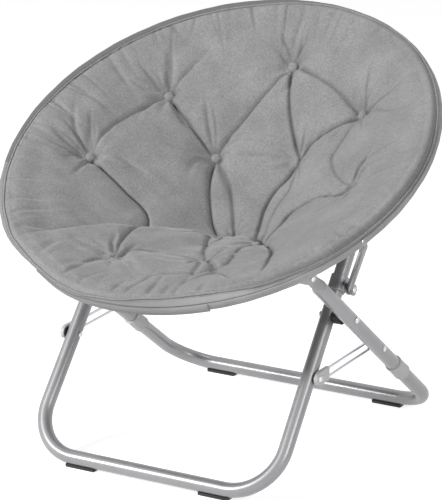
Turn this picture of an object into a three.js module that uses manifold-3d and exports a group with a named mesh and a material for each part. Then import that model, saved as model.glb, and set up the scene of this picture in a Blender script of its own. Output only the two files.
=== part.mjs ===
// Folding saucer chair: two crossed tube leg frames, a hinged hoop and a tufted velvet dish.
// Millimetres, +Z up, +X to the sitter's left hand seen from the front, front edge towards -Y.
// The origin lies on the floor under the middle of the chair's outer box.
import * as THREE from 'three';
import { mergeVertices } from 'three/addons/utils/BufferGeometryUtils.js';
import Module from 'manifold-3d';

const wasm = await Module();
wasm.setup();

// Driving dimensions: hoop
const hoopRadius = 375;
const hoopHeight = 528.4;
const hoopTilt = 29.6;
const hoopTubeRadius = 11;
const coverRadius = 14;
const hingeSetForward = 115;
const hingeTubeCut = 38;

// Driving dimensions: leg frames, with angles in degrees above the floor
const legTubeRadius = 12.7;
const padThickness = 3.9;
const frontBarY = -234.5;
const rearBarY = 319.1;
const frontLean = 51.44;
const rearLean = 36.62;
const frontHalfWidth = 235.9;
const frontTopHalfWidth = 223.3;
const crossSetOut = 41.44;
const braceSetOut = 37.3;
const frontBend = 85;
const rearBend = 78;
const frontArm = 785;
const rearArm = 620;
const ferruleStart = 172;
const ferruleLength = 46;
const ferruleWall = 2.2;

// Driving dimensions: fasteners, plates and clearances
const fitGap = 0.3;
const runGap = 0.5;
const cutOverrun = 6;
const tongueThickness = 5;
const tongueHalfWidth = 11;
const tongueLength = 30;
const plateThickness = 2.5;
const plateHalfWidth = 12;
const saddleWall = 2.4;
const saddleLength = 34;
const saddleRise = 2;
const rivetRadius = 3;
const rivetHeadRadius = 5.6;
const rivetHeadHeight = 2.4;
const pivotRadius = 4;
const pivotHeadRadius = 5.8;
const pivotHeadHeight = 3.5;
const spacerRadius = 12;
const hingeTongueThickness = 4;
const hingeTongueHalfWidth = 8;

// Driving dimensions: feet
const frontPadPlace = 131;
const rearPadPlace = 174;
const padLength = 57;
const padRise = 6;
const padTopHalfWidth = 10;
const padSoleHalfWidth = 8.5;

// Driving dimensions: sliding sleeve and strut
const sleevePlace = 388;
const sleeveLength = 28;
const sleeveWall = 2.4;
const sleeveRivetDrop = 17;
const earBackLength = 12;
const strutRadius = 6.5;
const strutTongueHalfWidth = 7;
const strutTongueLength = 15;
const strutTopForward = 150;
const strutTopDrop = 24;
const strutTopInset = 6.09;

// Driving dimensions: wire braces
const clipPlace = 218;
const braceFarPlace = 295;
const wireRadius = 2.4;
const loopRadius = 7.5;
const clipWall = 1.8;
const clipLength = 32;
const washerRadius = 10;
const washerThickness = 2;

// Driving dimensions: cushion
const cushionGap = 0.8;
const dishDepth = 222;
const dishPower = 1.45;
const sideLiftShare = 0.45;
const edgeRise = 3;
const edgeDrop = 9;
const padDepth = 34;
const quiltCrown = 22;
const tuftDepth = 20;
const tuftReach = 46;
const creaseReach = 34;
const creaseDepth = 13;
const seatCrown = 26;
const seatCrownForward = 190;
const seatCrownReach = 170;
const buttonRadius = 10;
const buttonHeight = 5;

// Places of the tufts in the plane of the hoop, across and up the slope, as shares of the hoop radius
const buttonTuftShares = {
  a: [-0.003, 0.736], b: [-0.536, 0.437], c: [0.475, 0.493], d: [-0.259, 0.283], e: [-0.701, -0.067],
};
const plainTuftShares = {
  f: [0.176, 0.312], g: [0.667, -0.019], h: [-0.299, -0.312], i: [0.032, -0.155], j: [0.277, -0.261],
  k: [0.459, -0.432], l: [-0.528, -0.597], m: [-0.211, -0.683], n: [0.072, -0.448],
};
// Pairs of tufts that a drawn-in crease joins
const creases = [
  'bd', 'be', 'eh', 'di', 'da', 'af', 'ac', 'cf', 'fi', 'cg', 'gj', 'fj',
  'lh', 'hi', 'ij', 'jk', 'mh', 'mn', 'ni', 'nj',
];

const degrees = THREE.MathUtils.degToRad;
const right = 1;
const left = -1;
const sides = [[right, 'right'], [left, 'left']];

// A sloping frame of the side view: places along it and square to it, and the group that holds its pieces
class Slope {
  constructor(y, z, angle) {
    this.origin = new THREE.Vector2(y, z);
    this.angle = degrees(angle);
  }

  at(along, off = 0) {
    return new THREE.Vector2(along, off).rotateAround(new THREE.Vector2(), this.angle).add(this.origin);
  }

  from(point) {
    return point.clone().sub(this.origin).rotateAround(new THREE.Vector2(), -this.angle);
  }

  group() {
    const group = new THREE.Group();
    group.position.set(0, this.origin.x, this.origin.y);
    group.rotation.x = this.angle;
    return group;
  }
}

const barHeight = legTubeRadius + padThickness;
const strutTopHalfWidth = Math.sqrt(hoopRadius ** 2 - strutTopForward ** 2) - strutTopInset;
const front = new Slope(frontBarY, barHeight, frontLean);
const rear = new Slope(rearBarY, barHeight, 180 - rearLean);
const hoop = new Slope(0, hoopHeight, hoopTilt);

const frontX = (along) => THREE.MathUtils.lerp(frontHalfWidth, frontTopHalfWidth, along / frontArm);

// Where the two frames cross in the side view, as lengths along each arm
const frontDirection = front.at(1).sub(front.at(0));
const rearDirection = rear.at(1).sub(rear.at(0));
const barGap = rear.at(0).sub(front.at(0));
const frontCrossing = barGap.cross(rearDirection) / frontDirection.cross(rearDirection);
const rearCrossing = barGap.cross(frontDirection) / frontDirection.cross(rearDirection);

// The rear arms stand outside the front ones, by one distance at the crossing and one at the wire brace
const rearSlant = (frontX(frontCrossing) + crossSetOut - frontX(clipPlace) - braceSetOut)
  / (rearCrossing - braceFarPlace);
const rearX = (along) => frontX(clipPlace) + braceSetOut + rearSlant * (along - braceFarPlace);
const rearHalfWidth = rearX(0);
const rearTopHalfWidth = rearX(rearArm);

// Pivots in the side view
const rearTop = rear.at(rearArm);
const frontTop = front.at(frontArm);
const hingePin = new THREE.Vector2(-hingeSetForward, 0);
const strutTop = new THREE.Vector2(-strutTopForward, -strutTopDrop);
const sleevePin = new THREE.Vector2(sleevePlace, -sleeveRivetDrop);

// Geometry helpers

// A closed mesh with shared corners and its faces outwards
function tidy(geometry) {
  const bare = new THREE.BufferGeometry();
  bare.setAttribute('position', geometry.getAttribute('position'));
  bare.setIndex(geometry.getIndex());
  const merged = mergeVertices(bare, fitGap / 1000);
  const place = merged.getAttribute('position');
  const source = merged.getIndex().array;
  const faces = [];
  let volume = 0;
  const [a, b, c] = [new THREE.Vector3(), new THREE.Vector3(), new THREE.Vector3()];
  for (let i = 0; i < source.length; i += 3) {
    const [p, q, r] = source.slice(i, i + 3);
    if (p === q || q === r || r === p) continue;
    faces.push([p, q, r]);
    a.fromBufferAttribute(place, p);
    b.fromBufferAttribute(place, q);
    c.fromBufferAttribute(place, r);
    volume += a.dot(b.cross(c));
  }
  merged.setIndex(faces.flatMap(([p, q, r]) => (volume < 0 ? [p, r, q] : [p, q, r])));
  return merged;
}

function toSolid(geometry) {
  const mesh = tidy(geometry);
  return new wasm.Manifold(new wasm.Mesh({
    numProp: 3,
    vertProperties: new Float32Array(mesh.getAttribute('position').array),
    triVerts: new Uint32Array(mesh.getIndex().array),
  }));
}

function toGeometry(solid) {
  const mesh = solid.getMesh();
  const geometry = new THREE.BufferGeometry();
  geometry.setAttribute('position', new THREE.BufferAttribute(mesh.vertProperties, 3));
  geometry.setIndex(new THREE.BufferAttribute(mesh.triVerts, 1));
  return geometry;
}

const join = (...parts) => toGeometry(parts.map(toSolid).reduce((sum, part) => sum.add(part)));
const cut = (body, ...tools) => toGeometry(
  tools.map(toSolid).reduce((rest, tool) => rest.subtract(tool), toSolid(body)),
);
const mirrored = (geometry) => tidy(geometry.clone().applyMatrix4(new THREE.Matrix4().makeScale(-1, 1, 1)));

// A path that is followed station by station, so straight runs need no rings of their own
class Stations extends THREE.Curve {
  constructor(points) {
    super();
    this.points = points;
  }

  getPoint(t, target = new THREE.Vector3()) {
    const place = t * (this.points.length - 1);
    const index = Math.min(Math.floor(place), this.points.length - 2);
    return target.lerpVectors(this.points[index], this.points[index + 1], place - index);
  }

  getUtoTmapping(u) {
    return u;
  }
}

const polygon = (radius, count, turn = 0.5) => Array.from({ length: count }, (_, i) => {
  const angle = ((i + turn) / count) * 2 * Math.PI;
  return new THREE.Vector2(radius * Math.cos(angle), radius * Math.sin(angle));
});

function sweep(stations, radius, count = 14, bore = 0) {
  const section = new THREE.Shape(polygon(radius, count));
  if (bore > 0) section.holes.push(new THREE.Path(polygon(bore, count).reverse()));
  const path = new Stations(stations);
  return new THREE.ExtrudeGeometry(section, { steps: stations.length - 1, bevelEnabled: false, extrudePath: path });
}

// A flat plate square to X, from an outline in the side view
const sidewaysBasis = new THREE.Matrix4().makeBasis(
  new THREE.Vector3(0, 1, 0), new THREE.Vector3(0, 0, 1), new THREE.Vector3(1, 0, 0));

function plate(outline, xMiddle, thickness) {
  const geometry = new THREE.ExtrudeGeometry(new THREE.Shape(outline), { depth: thickness, bevelEnabled: false });
  geometry.translate(0, 0, xMiddle - thickness / 2);
  return geometry.applyMatrix4(sidewaysBasis);
}

// The outline of a strap with round ends between two pins
function strap(from, to, radius, count = 5) {
  const lean = to.clone().sub(from).angle();
  const arc = (centre, start) => Array.from({ length: count + 1 }, (_, i) => {
    const angle = lean + start + (i / count) * Math.PI;
    return new THREE.Vector2(centre.x + radius * Math.cos(angle), centre.y + radius * Math.sin(angle));
  });
  return [...arc(to, -Math.PI / 2), ...arc(from, Math.PI / 2)];
}

// A rod along X
function rod(xFrom, xTo, radius, at, count = 14) {
  return plate(polygon(radius, count).map((p) => p.add(at)), (xFrom + xTo) / 2, Math.abs(xTo - xFrom));
}

// A box, square to the axes
function block(xFrom, xTo, yFrom, yTo, zFrom, zTo) {
  const geometry = new THREE.BoxGeometry(Math.abs(xTo - xFrom), Math.abs(yTo - yFrom), Math.abs(zTo - zFrom));
  return geometry.translate((xFrom + xTo) / 2, (yFrom + yTo) / 2, (zFrom + zTo) / 2);
}

// A rivet along X with a domed head outside each end
function rivet(xFrom, xTo, shank, head, dome, at, count = 12) {
  const domeShare = 0.65;
  const profile = [
    [0, xFrom - dome], [head * domeShare, xFrom - dome * domeShare], [head, xFrom], [shank, xFrom],
    [shank, xTo], [head, xTo], [head * domeShare, xTo + dome * domeShare], [0, xTo + dome],
  ].map(([radius, along]) => new THREE.Vector2(radius, along));
  const geometry = new THREE.LatheGeometry(profile, count);
  return tidy(geometry.rotateZ(-Math.PI / 2).translate(0, at.x, at.y));
}

// Leg frames

// Stations of one bend and the arm above it, in the plane of a leg frame
function armStations(halfWidth, topHalfWidth, arm, bend, end, side) {
  const bendSteps = 7;
  const slant = (topHalfWidth - halfWidth) / arm;
  const centre = halfWidth + slant * bend - bend * Math.hypot(1, slant);
  const stations = Array.from({ length: bendSteps + 1 }, (_, i) => {
    const angle = THREE.MathUtils.lerp(-Math.PI / 2, -Math.atan(slant), i / bendSteps);
    return new THREE.Vector3(side * (centre + bend * Math.cos(angle)), bend + bend * Math.sin(angle), 0);
  });
  return [...stations, new THREE.Vector3(side * (halfWidth + slant * end), end, 0)];
}

function uTube(halfWidth, topHalfWidth, arm, bend, end, radius = legTubeRadius) {
  const leftArm = armStations(halfWidth, topHalfWidth, arm, bend, end, left).reverse();
  const rightArm = armStations(halfWidth, topHalfWidth, arm, bend, end, right);
  return sweep([...leftArm, ...rightArm], radius);
}

const onArm = (along, off = 0) => new THREE.Vector2(along, off);
const pivotHole = pivotRadius + fitGap;
const rivetHole = rivetRadius + fitGap;

function flatEnd(x, arm) {
  const outline = strap(onArm(arm - tongueLength - tongueHalfWidth), onArm(arm), tongueHalfWidth);
  return plate(outline, x, tongueThickness);
}

function across(x, radius, at) {
  const reach = legTubeRadius + cutOverrun;
  return rod(x - reach, x + reach, radius, at);
}

function frontFrame() {
  const body = uTube(frontHalfWidth, frontTopHalfWidth, frontArm, frontBend, frontArm - tongueLength);
  const ends = sides.map(([side]) => flatEnd(side * frontX(frontArm), frontArm));
  const holes = sides.flatMap(([side]) => [
    across(side * frontX(frontCrossing), pivotHole, onArm(frontCrossing)),
    across(side * frontX(clipPlace), rivetHole, onArm(clipPlace)),
  ]);
  return cut(join(body, ...ends), ...holes);
}

const ferruleMiddle = ferruleStart + ferruleLength / 2;

function rearBase() {
  return uTube(rearHalfWidth, rearTopHalfWidth, rearArm, rearBend, ferruleMiddle - fitGap / 2);
}

function rearUpperArm() {
  const ends = [ferruleMiddle + fitGap / 2, rearArm - tongueLength];
  const stations = ends.map((t) => new THREE.Vector3(rearX(t), t, 0));
  const body = join(sweep(stations, legTubeRadius), flatEnd(rearX(rearArm), rearArm));
  return cut(
    body,
    across(rearX(rearCrossing), pivotHole, onArm(rearCrossing)),
    across(rearX(rearArm), pivotHole, onArm(rearArm)),
    across(rearX(braceFarPlace), rivetHole, onArm(braceFarPlace)),
  );
}

function ferrule() {
  const stations = [ferruleStart, ferruleStart + ferruleLength].map((t) => new THREE.Vector3(rearX(t), t, 0));
  const bore = legTubeRadius + fitGap;
  return sweep(stations, bore + ferruleWall, 14, bore);
}

// A foot is a shoe under a bar: it follows the tube above and is flat where it stands
function pad(slope, xMiddle, grownTube) {
  const outline = [
    [-padTopHalfWidth, padRise], [-padSoleHalfWidth, 0], [padSoleHalfWidth, 0], [padTopHalfWidth, padRise],
  ].map(([y, height]) => new THREE.Vector2(y, height - barHeight).rotateAround(new THREE.Vector2(), -slope.angle));
  return cut(plate(outline, xMiddle, padLength), grownTube);
}

const grown = legTubeRadius + fitGap;
const frontPad = () => pad(front, frontPadPlace,
  uTube(frontHalfWidth, frontTopHalfWidth, frontArm, frontBend, frontBend * 2, grown));
const rearPad = () => pad(rear, rearPadPlace,
  uTube(rearHalfWidth, rearTopHalfWidth, rearArm, rearBend, rearBend * 2, grown));

// Pieces at the crossing of the legs
const crossFrontOuter = frontX(frontCrossing) + legTubeRadius;
const crossRearInner = rearX(rearCrossing) - legTubeRadius;

function spacer() {
  const at = onArm(frontCrossing);
  const ring = rod(crossFrontOuter + fitGap, crossRearInner - fitGap, spacerRadius, at, 16);
  return cut(ring, rod(crossFrontOuter - cutOverrun, crossRearInner + cutOverrun, pivotHole, at));
}

function crossRivet() {
  const inner = frontX(frontCrossing) - legTubeRadius - fitGap;
  const outer = rearX(rearCrossing) + legTubeRadius + fitGap;
  return rivet(inner, outer, pivotRadius, pivotHeadRadius, pivotHeadHeight, onArm(frontCrossing));
}

// Wire brace, its clip on the front arm and the pin on the rear arm that it slides along
const clipOuter = frontX(clipPlace) + legTubeRadius;
const washerFace = clipOuter + fitGap + washerThickness;
const wirePlane = washerFace + fitGap + wireRadius;
const clipFace = wirePlane + wireRadius + fitGap;
const clipEnd = clipFace + clipWall;
const clipHalfWidth = loopRadius + wireRadius + fitGap + clipWall;
const braceFar = front.from(rear.at(braceFarPlace));

function washer() {
  const at = onArm(clipPlace);
  return cut(rod(clipOuter + fitGap, washerFace, washerRadius, at, 16),
    rod(clipOuter - cutOverrun, washerFace + cutOverrun, rivetHole, at));
}

// The clip is a channel crimped over the end of the loop: an outer leaf and a wall round the wire
function clip() {
  const at = onArm(clipPlace);
  const run = braceFar.clone().sub(at).normalize();
  const outline = (radius, length) => {
    const [lower, upper] = [-1, 1].map((way) => run.clone().rotateAround(new THREE.Vector2(), way * Math.PI / 2)
      .multiplyScalar(radius).add(at).addScaledVector(run, length));
    return [lower, upper, ...strap(at, at.clone().add(run), radius).slice(-6)];
  };
  const whole = plate(outline(clipHalfWidth, clipLength), (washerFace + fitGap + clipEnd) / 2,
    clipEnd - washerFace - fitGap);
  const inside = plate(outline(clipHalfWidth - clipWall, clipLength + cutOverrun), clipFace - cutOverrun / 2, cutOverrun);
  return cut(whole, inside, rod(clipFace - cutOverrun, clipEnd + cutOverrun, rivetHole, at));
}

function clipRivet() {
  const inner = frontX(clipPlace) - legTubeRadius - fitGap;
  return rivet(inner, clipEnd + fitGap, rivetRadius, rivetHeadRadius, rivetHeadHeight, onArm(clipPlace));
}

// A closed wire loop, bent flat, with a half circle round the clip rivet and one round the far pin
function wireLoop() {
  const start = onArm(clipPlace);
  const lean = braceFar.clone().sub(start).angle();
  const bendSteps = 6;
  const ringCount = 8;
  const centreLine = [[braceFar, -Math.PI / 2], [start, Math.PI / 2]].flatMap(([centre, from]) => (
    Array.from({ length: bendSteps + 1 }, (_, i) => {
      const angle = lean + from + (i / bendSteps) * Math.PI;
      return { centre, angle };
    })));
  const positions = centreLine.flatMap(({ centre, angle }) => polygon(wireRadius, ringCount).flatMap((p) => {
    const reach = loopRadius + p.x;
    return [wirePlane + p.y, centre.x + reach * Math.cos(angle), centre.y + reach * Math.sin(angle)];
  }));
  const total = centreLine.length;
  const index = [];
  for (let i = 0; i < total; i += 1) {
    for (let j = 0; j < ringCount; j += 1) {
      const [a, b] = [i * ringCount + j, i * ringCount + ((j + 1) % ringCount)];
      const next = ((i + 1) % total) * ringCount;
      const [c, d] = [next + j, next + ((j + 1) % ringCount)];
      index.push(a, b, d, a, d, c);
    }
  }
  const geometry = new THREE.BufferGeometry();
  geometry.setAttribute('position', new THREE.Float32BufferAttribute(positions, 3));
  geometry.setIndex(index);
  return tidy(geometry);
}

// The far pin runs through the rear arm and stops short of the wire, because the loop slides past it
function bracePin() {
  const tip = wirePlane + wireRadius + fitGap;
  const [inner, outer] = [-1, 1].map((way) => rearX(braceFarPlace) + way * (legTubeRadius + fitGap));
  const at = onArm(braceFarPlace);
  const shank = rivet(inner, outer, rivetRadius, rivetHeadRadius, rivetHeadHeight, at);
  return join(shank, rod(tip, inner, rivetHeadRadius, at));
}

// Sliding sleeve: a strap round the front arm with an ear outside it, and the strut between the two
const sleeveX = frontX(sleevePlace);
const sleeveBore = legTubeRadius + runGap;
const sleeveOuter = sleeveX + sleeveBore + sleeveWall;
const strutFootX = sleeveOuter + runGap + tongueThickness / 2;
const earFace = strutFootX + tongueThickness / 2 + runGap;
const earEnd = earFace + plateThickness;
const earRadius = strutTongueHalfWidth + runGap + sleeveWall;

function sleeve() {
  const stations = [sleevePlace - sleeveLength / 2, sleevePlace + sleeveLength / 2]
    .map((s) => new THREE.Vector3(frontX(s), s, 0));
  const ring = sweep(stations, sleeveBore + sleeveWall, 16);
  const backTo = -sleeveRivetDrop - strutTongueHalfWidth - runGap;
  const backFrom = backTo - sleeveWall;
  const [low, high] = [sleevePlace - earBackLength / 2, sleevePlace + earBackLength / 2];
  const cheek = plate(strap(sleevePin, onArm(sleevePlace), earRadius), sleeveOuter - sleeveWall / 2, sleeveWall);
  const ear = rod(earFace, earEnd, earRadius, sleevePin, 16);
  const back = block(sleeveOuter - sleeveWall, earEnd, low, high, backFrom, backTo);
  const boreStations = [low - sleeveLength, high + sleeveLength].map((s) => new THREE.Vector3(frontX(s), s, 0));
  return cut(
    join(ring, cheek, ear, back),
    sweep(boreStations, sleeveBore, 14),
    rod(sleeveOuter - sleeveWall - cutOverrun, earEnd + cutOverrun, rivetHole, sleevePin),
  );
}

function sleeveRivet() {
  const inner = sleeveOuter - sleeveWall - fitGap;
  return rivet(inner, earEnd + fitGap, rivetRadius, rivetHeadRadius, rivetHeadHeight, sleevePin);
}

function strut() {
  const foot = sleevePin;
  const top = front.from(hoop.at(strutTop.x, strutTop.y));
  const along = top.clone().sub(foot).normalize();
  const footEnd = foot.clone().addScaledVector(along, strutTongueLength);
  const topEnd = top.clone().addScaledVector(along, -strutTongueLength);
  const lower = plate(strap(foot, footEnd, strutTongueHalfWidth), strutFootX, tongueThickness);
  const upper = plate(strap(topEnd, top, strutTongueHalfWidth), strutTopHalfWidth, tongueThickness);
  const flush = strutRadius - tongueThickness / 2;
  const tube = sweep([
    new THREE.Vector3(strutFootX + flush, footEnd.x, footEnd.y),
    new THREE.Vector3(strutTopHalfWidth - flush, topEnd.x, topEnd.y),
  ], strutRadius, 12);
  const hole = rod(strutFootX - cutOverrun, strutFootX + cutOverrun, rivetHole, foot);
  return cut(join(lower, upper, tube), hole);
}

// Hoop

const hoopAngle = (forward) => Math.asin(forward / hoopRadius);
const hoopX = (forward) => hoopRadius * Math.cos(hoopAngle(forward));

// The bent path of the hoop, in equal straight facets that every piece on it shares
const facetAngle = Math.PI / 22;

function onHoop(angle) {
  const facetMiddle = (Math.floor(angle / facetAngle) + 0.5) * facetAngle;
  const reach = (hoopRadius * Math.cos(facetAngle / 2)) / Math.cos(angle - facetMiddle);
  return new THREE.Vector3(reach * Math.cos(angle), reach * Math.sin(angle), 0);
}

function arcStations(from, to) {
  const [low, high] = [Math.min(from, to), Math.max(from, to)];
  const angles = [low];
  const margin = facetAngle / 20;
  for (let cell = Math.floor(low / facetAngle) + 1; cell * facetAngle < high; cell += 1) {
    const angle = cell * facetAngle;
    if (angle - low > margin && high - angle > margin) angles.push(angle);
  }
  return [...angles, high].map(onHoop);
}

const frontTubeAngle = hoopAngle(-hingeSetForward - hingeTubeCut);
const rearTubeAngle = hoopAngle(-hingeSetForward + hingeTubeCut);
const hingeAngle = hoopAngle(-hingeSetForward);

const frontArc = (start) => arcStations(-Math.PI - start, start);
const rearArc = (start) => arcStations(start, Math.PI - start);
const hoopSides = 10;
const hoopClearance = (from, to) => sweep(arcStations(from, to), hoopTubeRadius + fitGap, hoopSides);

// The flattened ends of the two hoop tubes lap on the hinge pin
const hingeX = hoopX(-hingeSetForward) - hoopTubeRadius / 4;
const tongueShift = (hingeTongueThickness + fitGap * 2) / 2;

function hingeTongue(direction) {
  const reach = new THREE.Vector2(hingePin.x + direction * (hingeTubeCut + hingeTongueHalfWidth), 0);
  const x = hingeX + direction * tongueShift;
  const hole = rod(x - cutOverrun, x + cutOverrun, rivetHole, hingePin);
  return cut(plate(strap(hingePin, reach, hingeTongueHalfWidth), x, hingeTongueThickness), hole);
}

function hoopTube(stations, direction) {
  const tongue = hingeTongue(direction);
  return join(sweep(stations, hoopTubeRadius, hoopSides), tongue, mirrored(tongue));
}

function hingeRivet() {
  const reach = tongueShift + hingeTongueThickness / 2 + fitGap;
  return rivet(hingeX - reach, hingeX + reach, rivetRadius, rivetHeadRadius, rivetHeadHeight / 2, hingePin);
}

// Bracket: two leaves hang from a saddle round the hoop tube, either side of a leg's flat end
function bracket(pivot, legX, upSlope, pinned) {
  const crossing = new THREE.Vector2(upSlope * Math.sqrt(hoopRadius ** 2 - legX ** 2), 0);
  const middle = Math.atan2(crossing.x, legX);
  const half = saddleLength / 2 / hoopRadius;
  const saddle = sweep(arcStations(middle - half, middle + half), hoopTubeRadius + fitGap + saddleWall, hoopSides);
  const leafPlace = tongueThickness / 2 + runGap + plateThickness / 2;
  const leaves = [leafPlace, -leafPlace].map((shift) => (
    plate(strap(pivot, crossing, plateHalfWidth), legX + shift, plateThickness)));
  const heads = pinned ? [] : [leafPlace, -leafPlace].map((shift) => {
    const outward = Math.sign(shift) * (plateThickness / 2 + rivetHeadHeight);
    return rod(legX + shift, legX + shift + outward, pivotHeadRadius, pivot, 12);
  });
  const clear = hoopClearance(middle - half * 2, middle + half * 2);
  const open = block(legX - saddleLength, legX + saddleLength, crossing.x - saddleLength, crossing.x + saddleLength,
    saddleRise, coverRadius * 2);
  const slotHalf = tongueThickness / 2 + runGap;
  const slotReach = saddleWall + hoopTubeRadius;
  const slot = block(legX - slotHalf, legX + slotHalf, pivot.x - slotReach, crossing.x + slotReach,
    pivot.y - slotReach, -hoopTubeRadius);
  const hole = rod(legX - slotHalf - plateThickness * 2, legX + slotHalf + plateThickness * 2, pivotHole, pivot);
  return cut(join(saddle, ...leaves, ...heads), clear, open, ...(pinned ? [hole] : [slot]));
}

const frontBracketPivot = hoop.from(rearTop);
const rearBracketPivot = hoop.from(frontTop);
const frontBracketX = rearX(rearArm);
const rearBracketX = frontX(frontArm);

function bracketRivet() {
  const reach = tongueThickness / 2 + runGap + plateThickness + fitGap;
  return rivet(frontBracketX - reach, frontBracketX + reach, pivotRadius, pivotHeadRadius, pivotHeadHeight,
    frontBracketPivot);
}

// Lug under the front half of the hoop, with the head of the strut's top rivet
function strutLug() {
  const place = strutTopHalfWidth + tongueThickness / 2 + fitGap + plateThickness / 2;
  const root = new THREE.Vector2(strutTop.x, 0);
  const leaf = plate(strap(strutTop, root, strutTongueHalfWidth), place, plateThickness);
  const head = rod(place, place + plateThickness / 2 + rivetHeadHeight, rivetHeadRadius, strutTop, 12);
  const start = hoopAngle(strutTop.x) - saddleLength / hoopRadius;
  const end = hoopAngle(strutTop.x) + saddleLength / hoopRadius;
  return cut(join(leaf, head), hoopClearance(start, end));
}

// Room for what hangs from the hoop, taken out of the soft pieces
function bracketRoom(pivot, legX, upSlope) {
  const crossing = new THREE.Vector2(upSlope * Math.sqrt(hoopRadius ** 2 - legX ** 2), 0);
  const middle = Math.atan2(crossing.x, legX);
  const half = (saddleLength / 2 + runGap * 2) / hoopRadius;
  const around = sweep(arcStations(middle - half, middle + half), coverRadius + runGap * 2, hoopSides);
  const open = block(legX - saddleLength, legX + saddleLength, crossing.x - saddleLength, crossing.x + saddleLength,
    saddleRise + runGap, coverRadius * 2);
  const leafRoom = tongueThickness + (runGap + plateThickness + pivotHeadHeight) * 2 + runGap * 4;
  return join(cut(around, open), plate(strap(pivot, crossing, plateHalfWidth + runGap * 2), legX, leafRoom));
}

function lugRoom() {
  const grow = strutTongueHalfWidth + runGap * 2;
  const half = tongueThickness * 2;
  return block(strutTopHalfWidth - half, strutTopHalfWidth + half, strutTop.x - grow, strutTop.x + grow,
    strutTop.y - cutOverrun * 2, 0);
}

function hingeRoom() {
  const half = tongueShift + hingeTongueThickness + rivetHeadHeight;
  const reach = hingeTubeCut + hingeTongueHalfWidth * 2;
  const width = hingeTongueHalfWidth + runGap;
  const inner = hingeX - coverRadius * 2;
  return block(inner, hingeX + half, hingePin.x - reach, hingePin.x + reach, -width, width);
}

const rooms = [
  bracketRoom(frontBracketPivot, frontBracketX, -1), bracketRoom(rearBracketPivot, rearBracketX, 1),
  lugRoom(), hingeRoom(),
].flatMap((room) => [room, mirrored(room)]);

// Fabric sleeve sewn round the hoop tube
const endTrim = runGap / hoopRadius;

function cover(stations) {
  return cut(sweep(stations, coverRadius, hoopSides, hoopTubeRadius + fitGap), ...rooms);
}

// Cushion: a round dish with a crown between tufts and drawn-in creases between them
const cushionRadius = hoopRadius - coverRadius - cushionGap;
const placeTufts = (shares) => Object.fromEntries(Object.entries(shares)
  .map(([name, [x, y]]) => [name, new THREE.Vector2(x * hoopRadius, y * hoopRadius)]));
const buttonTufts = placeTufts(buttonTuftShares);
const tufts = { ...buttonTufts, ...placeTufts(plainTuftShares) };

function segmentDistance(point, a, b) {
  const run = b.clone().sub(a);
  const share = THREE.MathUtils.clamp(point.clone().sub(a).dot(run) / run.lengthSq(), 0, 1);
  return point.distanceTo(a.clone().addScaledVector(run, share));
}

function underside(x, y) {
  const reach = Math.hypot(x, y) / cushionRadius;
  const sideShare = 1 - sideLiftShare * (x / cushionRadius) ** 2;
  return -edgeDrop - (dishDepth - edgeDrop) * (1 - reach ** dishPower) * sideShare;
}

function topside(x, y) {
  const point = new THREE.Vector2(x, y);
  const reach = Math.hypot(x, y) / cushionRadius;
  const near = Math.min(...Object.values(tufts).map((tuft) => point.distanceTo(tuft)));
  const crease = Math.min(...creases.map(([from, to]) => segmentDistance(point, tufts[from], tufts[to])));
  const edgeShare = 1 - reach ** 8;
  const dips = tuftDepth * Math.exp(-((near / tuftReach) ** 2))
    + creaseDepth * Math.exp(-((crease / creaseReach) ** 2));
  const padding = edgeRise + edgeDrop + edgeShare * (padDepth - edgeDrop - edgeRise + quiltCrown - dips);
  const fromSeat = Math.hypot(x, y + seatCrownForward) / seatCrownReach;
  const seat = seatCrown * edgeShare * Math.exp(-(fromSeat ** 2));
  return underside(x, y) + padding + seat;
}

function cushion() {
  const ringShares = [0.09, 0.19, 0.29, 0.39, 0.48, 0.57, 0.66, 0.75, 0.83, 0.9, 0.96, 1];
  const around = 44;
  const positions = [0, 0, topside(0, 0), 0, 0, underside(0, 0)];
  ringShares.forEach((share) => {
    for (let j = 0; j < around; j += 1) {
      const angle = (j / around) * 2 * Math.PI;
      const [x, y] = [share * cushionRadius * Math.cos(angle), share * cushionRadius * Math.sin(angle)];
      positions.push(x, y, topside(x, y), x, y, underside(x, y));
    }
  });
  const at = (ring, j, layer) => (ring === 0 ? layer : 2 + ((ring - 1) * around + (j % around)) * 2 + layer);
  const index = [];
  const quad = (a, b, c, d) => index.push(a, b, c, a, c, d);
  for (let j = 0; j < around; j += 1) {
    index.push(at(0, 0, 0), at(1, j, 0), at(1, j + 1, 0), at(0, 0, 1), at(1, j + 1, 1), at(1, j, 1));
    for (let ring = 1; ring < ringShares.length; ring += 1) {
      quad(at(ring, j, 0), at(ring + 1, j, 0), at(ring + 1, j + 1, 0), at(ring, j + 1, 0));
      quad(at(ring, j, 1), at(ring, j + 1, 1), at(ring + 1, j + 1, 1), at(ring + 1, j, 1));
    }
    const rim = ringShares.length;
    quad(at(rim, j, 0), at(rim, j, 1), at(rim, j + 1, 1), at(rim, j + 1, 0));
  }
  const geometry = new THREE.BufferGeometry();
  geometry.setAttribute('position', new THREE.Float32BufferAttribute(positions, 3));
  geometry.setIndex(index);
  return tidy(geometry);
}

// Half of the cushion on one side of the hinge line
function cushionHalf(whole, direction) {
  const far = hoopRadius + cutOverrun;
  const seam = hingePin.x - direction * runGap / 2;
  const keep = toSolid(block(-far, far, seam, direction * far, -hoopRadius, far));
  return toGeometry(toSolid(cut(whole, ...rooms)).subtract(keep));
}

// Covered buttons sit in wells at the tufts, square to the slope of the dish there
function seatInTuft(geometry, tuft) {
  const step = tuftReach;
  const slope = new THREE.Vector3(
    underside(tuft.x - step, tuft.y) - underside(tuft.x + step, tuft.y),
    underside(tuft.x, tuft.y - step) - underside(tuft.x, tuft.y + step), step * 2).normalize();
  const turn = new THREE.Quaternion().setFromUnitVectors(new THREE.Vector3(0, 0, 1), slope);
  return geometry.applyQuaternion(turn).translate(tuft.x, tuft.y, topside(tuft.x, tuft.y));
}

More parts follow.
